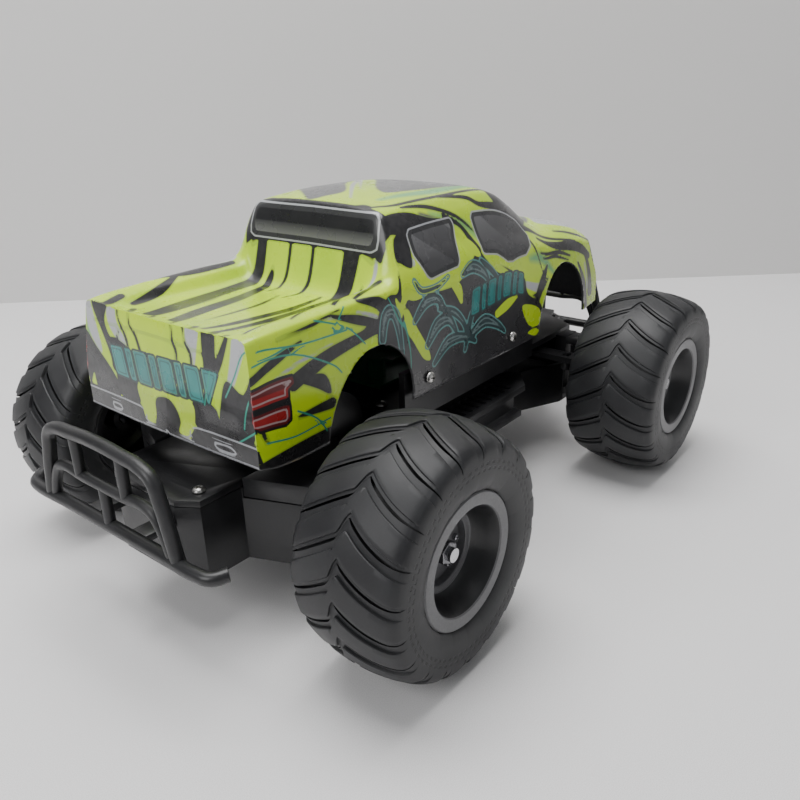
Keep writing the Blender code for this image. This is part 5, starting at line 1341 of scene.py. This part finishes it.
def both_sides(half):
    """A line given from one end to the middle, completed to the other side of the truck."""
    return [(-y, z, back) for y, z, back in half] + [
        (y, z, back) for y, z, back in reversed(half) if y]


# Half of each bar as (y, height, how far back towards the truck).
LOWER_HALF = [(0.0565, LOWER_Z + 0.0006, 0.0055), (0.0535, LOWER_Z, 0.0012), (0.050, LOWER_Z, 0),
              (0.025, LOWER_Z, 0)]
HOOP_HALF = [(0.0387, LOWER_Z, 0), (0.0330, 0.0705, 0), (0.0312, 0.0750, 0), (0.0270, 0.0776, 0),
             (0.015, 0.0791, 0), (0.0, 0.0798, 0)]
INNER_HALF = [(0.036, LOWER_Z, 0), (0.0305, 0.0602, 0), (0.027, MID_Z, 0), (0.012, MID_Z, 0)]
BAR_LINES = [("lower", both_sides(LOWER_HALF), BAR), ("hoop", both_sides(HOOP_HALF), BAR),
             ("inner", both_sides(INNER_HALF), THIN_BAR),
             ("post", [(-POST_Y, MID_Z, 0), (-POST_Y, HOOP_Z, 0)], THIN_BAR),
             ("post", [(POST_Y, MID_Z, 0), (POST_Y, HOOP_Z, 0)], THIN_BAR),
             ("post", [(0, LOWER_Z, 0), (0, MID_Z, 0)], THIN_BAR)]
for end_name, end in (("rear", -1), ("front", 1)):
    bars = [bar(name, [(end * (REACH - back), y, z) for y, z, back in line], radius)
            for name, line, radius in BAR_LINES]
    low_x, high_x = sorted((end * TUB_ENDS[end_name], end * REACH))
    for y in (-POST_Y, POST_Y):
        rest()
        bpy.ops.mesh.primitive_cube_add(size=1.0, location=((low_x + high_x) / 2, y, LOWER_Z),
                                        scale=(high_x - low_x, 0.008, 0.003))
        arm = settle(bpy.context.object)
        round_edges = arm.modifiers.new("round", "BEVEL")
        round_edges.width = 0.0006
        round_edges.segments = 2
        bars.append(apply_all(arm))
    bumper = join("%s_bumper_bars" % end_name, bars)
    dress(bumper, bumper_finish)
    finish_mesh(bumper, 40)
    hand_over(bumper, "body", "%s_bumper" % end_name)
print("bumper faces:", len(bumper.data.polygons))

# %% [markdown]
# ## Screws
# The screws have low domed heads with a cross recess. The head is turned, and the cross is cut
# with two tapered bars, which leaves the crisp dark cross seen on real screws.

# %% Cross-head screw
steel_finish = moulded("plated_screw", (0.56, 0.55, 0.53), (0.25, 0.24, 0.22), 0.3, 2000.0, 0.28,
                       metallic=1.0)
FLANK_Y = 0.0508                                     # outer face of the body at its screws
HEAD_HEIGHT = 0.0015
head_section = [(0.0, -0.008), (0.0008, -0.008), (0.0010, -0.0072), (0.0010, 0.0),
                (0.00235, 0.0), (0.00243, 0.00012), (0.00228, 0.0006), (0.0018, 0.00112),
                (0.0011, 0.00142), (0.0, HEAD_HEIGHT)]
screw_blank = turned("screw_blank", head_section, 40)
for quarter in (0.0, math.pi / 2):
    rest()
    bpy.ops.mesh.primitive_cube_add(size=1.0, location=(0, 0, 0.0013), rotation=(0, 0, quarter),
                                    scale=(0.0027, 0.00055, 0.0014))
    cutter = settle(bpy.context.object)
    cut = screw_blank.modifiers.new("cut", "BOOLEAN")
    cut.operation = "DIFFERENCE"
    cut.solver = "EXACT"
    cut.object = cutter
    apply_all(screw_blank)
    bpy.data.objects.remove(cutter)
dress(screw_blank, steel_finish)
finish_mesh(screw_blank, 30)
screw_nodes = ["%s_%s" % (stem, side) for stem in
               ("body_screw_rear", "body_screw_front", "rear_cover_screw")
               for side in ("left", "right")]
for number, node in enumerate(screw_nodes):
    seat = middle(node)
    if node.startswith("body"):
        side = 1 if node.endswith("left") else -1
        seat.y = side * FLANK_Y
        turn = Matrix.Rotation(-side * math.pi / 2, 4, "X")
    else:
        seat.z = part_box(node)[1].z - HEAD_HEIGHT
        turn = Matrix.Identity(4)
    spin = Matrix.Rotation(0.4 + number * 0.9, 4, "Z")
    screw = copy_of(screw_blank, "cross_screw_%d" % (number + 1),
                    Matrix.Translation(seat) @ turn @ spin)
    hand_over(screw, "body", node)
bpy.data.objects.remove(screw_blank)
print("screws:", len(screw_nodes))

# %% [markdown]
# ## Chassis
# The tub, deck, covers and side steps are black moulded plastic whose edges are slightly round
# and catch the light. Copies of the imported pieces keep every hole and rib; their triangles are
# joined back into flat faces and the sharp edges rounded a little.

# %% Rounded copies
def softened(node, finish, width=0.0004):
    """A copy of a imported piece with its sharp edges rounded."""
    piece = copy_of(nodes[node], node + "_moulded", Matrix.Identity(4))
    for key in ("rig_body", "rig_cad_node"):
        if key in piece:
            del piece[key]
    piece.parent = None
    piece.hide_render = False
    pick(piece)
    bpy.ops.object.mode_set(mode="EDIT")
    bpy.ops.mesh.select_all(action="SELECT")
    bpy.ops.mesh.remove_doubles(threshold=0.00001)
    bpy.ops.mesh.customdata_custom_splitnormals_clear()
    bpy.ops.mesh.dissolve_limited(angle_limit=math.radians(1.5))
    bpy.ops.mesh.normals_make_consistent(inside=False)
    bpy.ops.object.mode_set(mode="OBJECT")
    bevel = piece.modifiers.new("round", "BEVEL")
    bevel.width = width
    bevel.segments = 2
    bevel.limit_method = "ANGLE"
    bevel.angle_limit = math.radians(32)
    apply_all(piece)
    dress(piece, finish)
    pick(piece)
    bpy.ops.object.shade_smooth_by_angle(angle=math.radians(40))
    hand_over(piece, "body", node)


for node in ("chassis_tub", "rear_cover", "axle_cover_left", "axle_cover_right"):
    softened(node, black_finish)
for node in ("side_step_left", "side_step_right"):
    softened(node, step_finish, 0.0003)
print("softened copies made")

# %% [markdown]
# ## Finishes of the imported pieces
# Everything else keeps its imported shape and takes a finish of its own: steel shafts, nylon
# gears, brass bushes, a shrink-wrapped battery and a green circuit board.

# %% Finishes by piece
axle_finish = moulded("ground_steel", (0.55, 0.55, 0.56), (0.3, 0.3, 0.3), 0.25,
                      2200.0, 0.24, metallic=1.0)
can_finish = moulded("motor_can_steel", (0.50, 0.50, 0.52), (0.3, 0.3, 0.3), 0.3,
                     1500.0, 0.35, metallic=1.0)
nylon_finish = moulded("gear_nylon_white", (0.70, 0.70, 0.66), (0.5, 0.48, 0.4), 0.2,
                       900.0, 0.42)
brass_finish = moulded("turned_brass", (0.70, 0.50, 0.18), (0.3, 0.2, 0.1), 0.2,
                       1800.0, 0.3, metallic=1.0)
wrap_finish = moulded("battery_shrink_wrap", (0.05, 0.26, 0.10), (0.2, 0.3, 0.2), 0.15,
                      500.0, 0.3)
board_finish = moulded("circuit_green", (0.012, 0.14, 0.05), (0.1, 0.2, 0.1), 0.2,
                       2400.0, 0.35)
# The first word found in a piece's name decides; every other piece is black plastic.
rules = [
    ("tyre", dish_finish), ("rim", dish_finish), ("battery_pack", wrap_finish),
    ("circuit_board", board_finish), ("bush", brass_finish), ("pinion", brass_finish),
    ("axle_gear", nylon_finish), ("reduction_gear", nylon_finish), ("gear_shaft", axle_finish),
    ("drive_motor", can_finish), ("cover", black_finish), ("stub_axle", axle_finish),
    ("kingpin", axle_finish), ("wheel_nut", nut_finish), ("screw", steel_finish),
    ("rear_axle", axle_finish), ("bumper", bumper_finish), ("step", step_finish),
    ("shell", printed)]
for name, node in nodes.items():
    finish = next((f for word, f in rules if word in name), black_finish)
    if not node.data.materials:
        node.data.materials.append(finish)
    for slot_number in range(len(node.data.materials)):
        node.data.materials[slot_number] = finish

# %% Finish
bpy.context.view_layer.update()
rest()
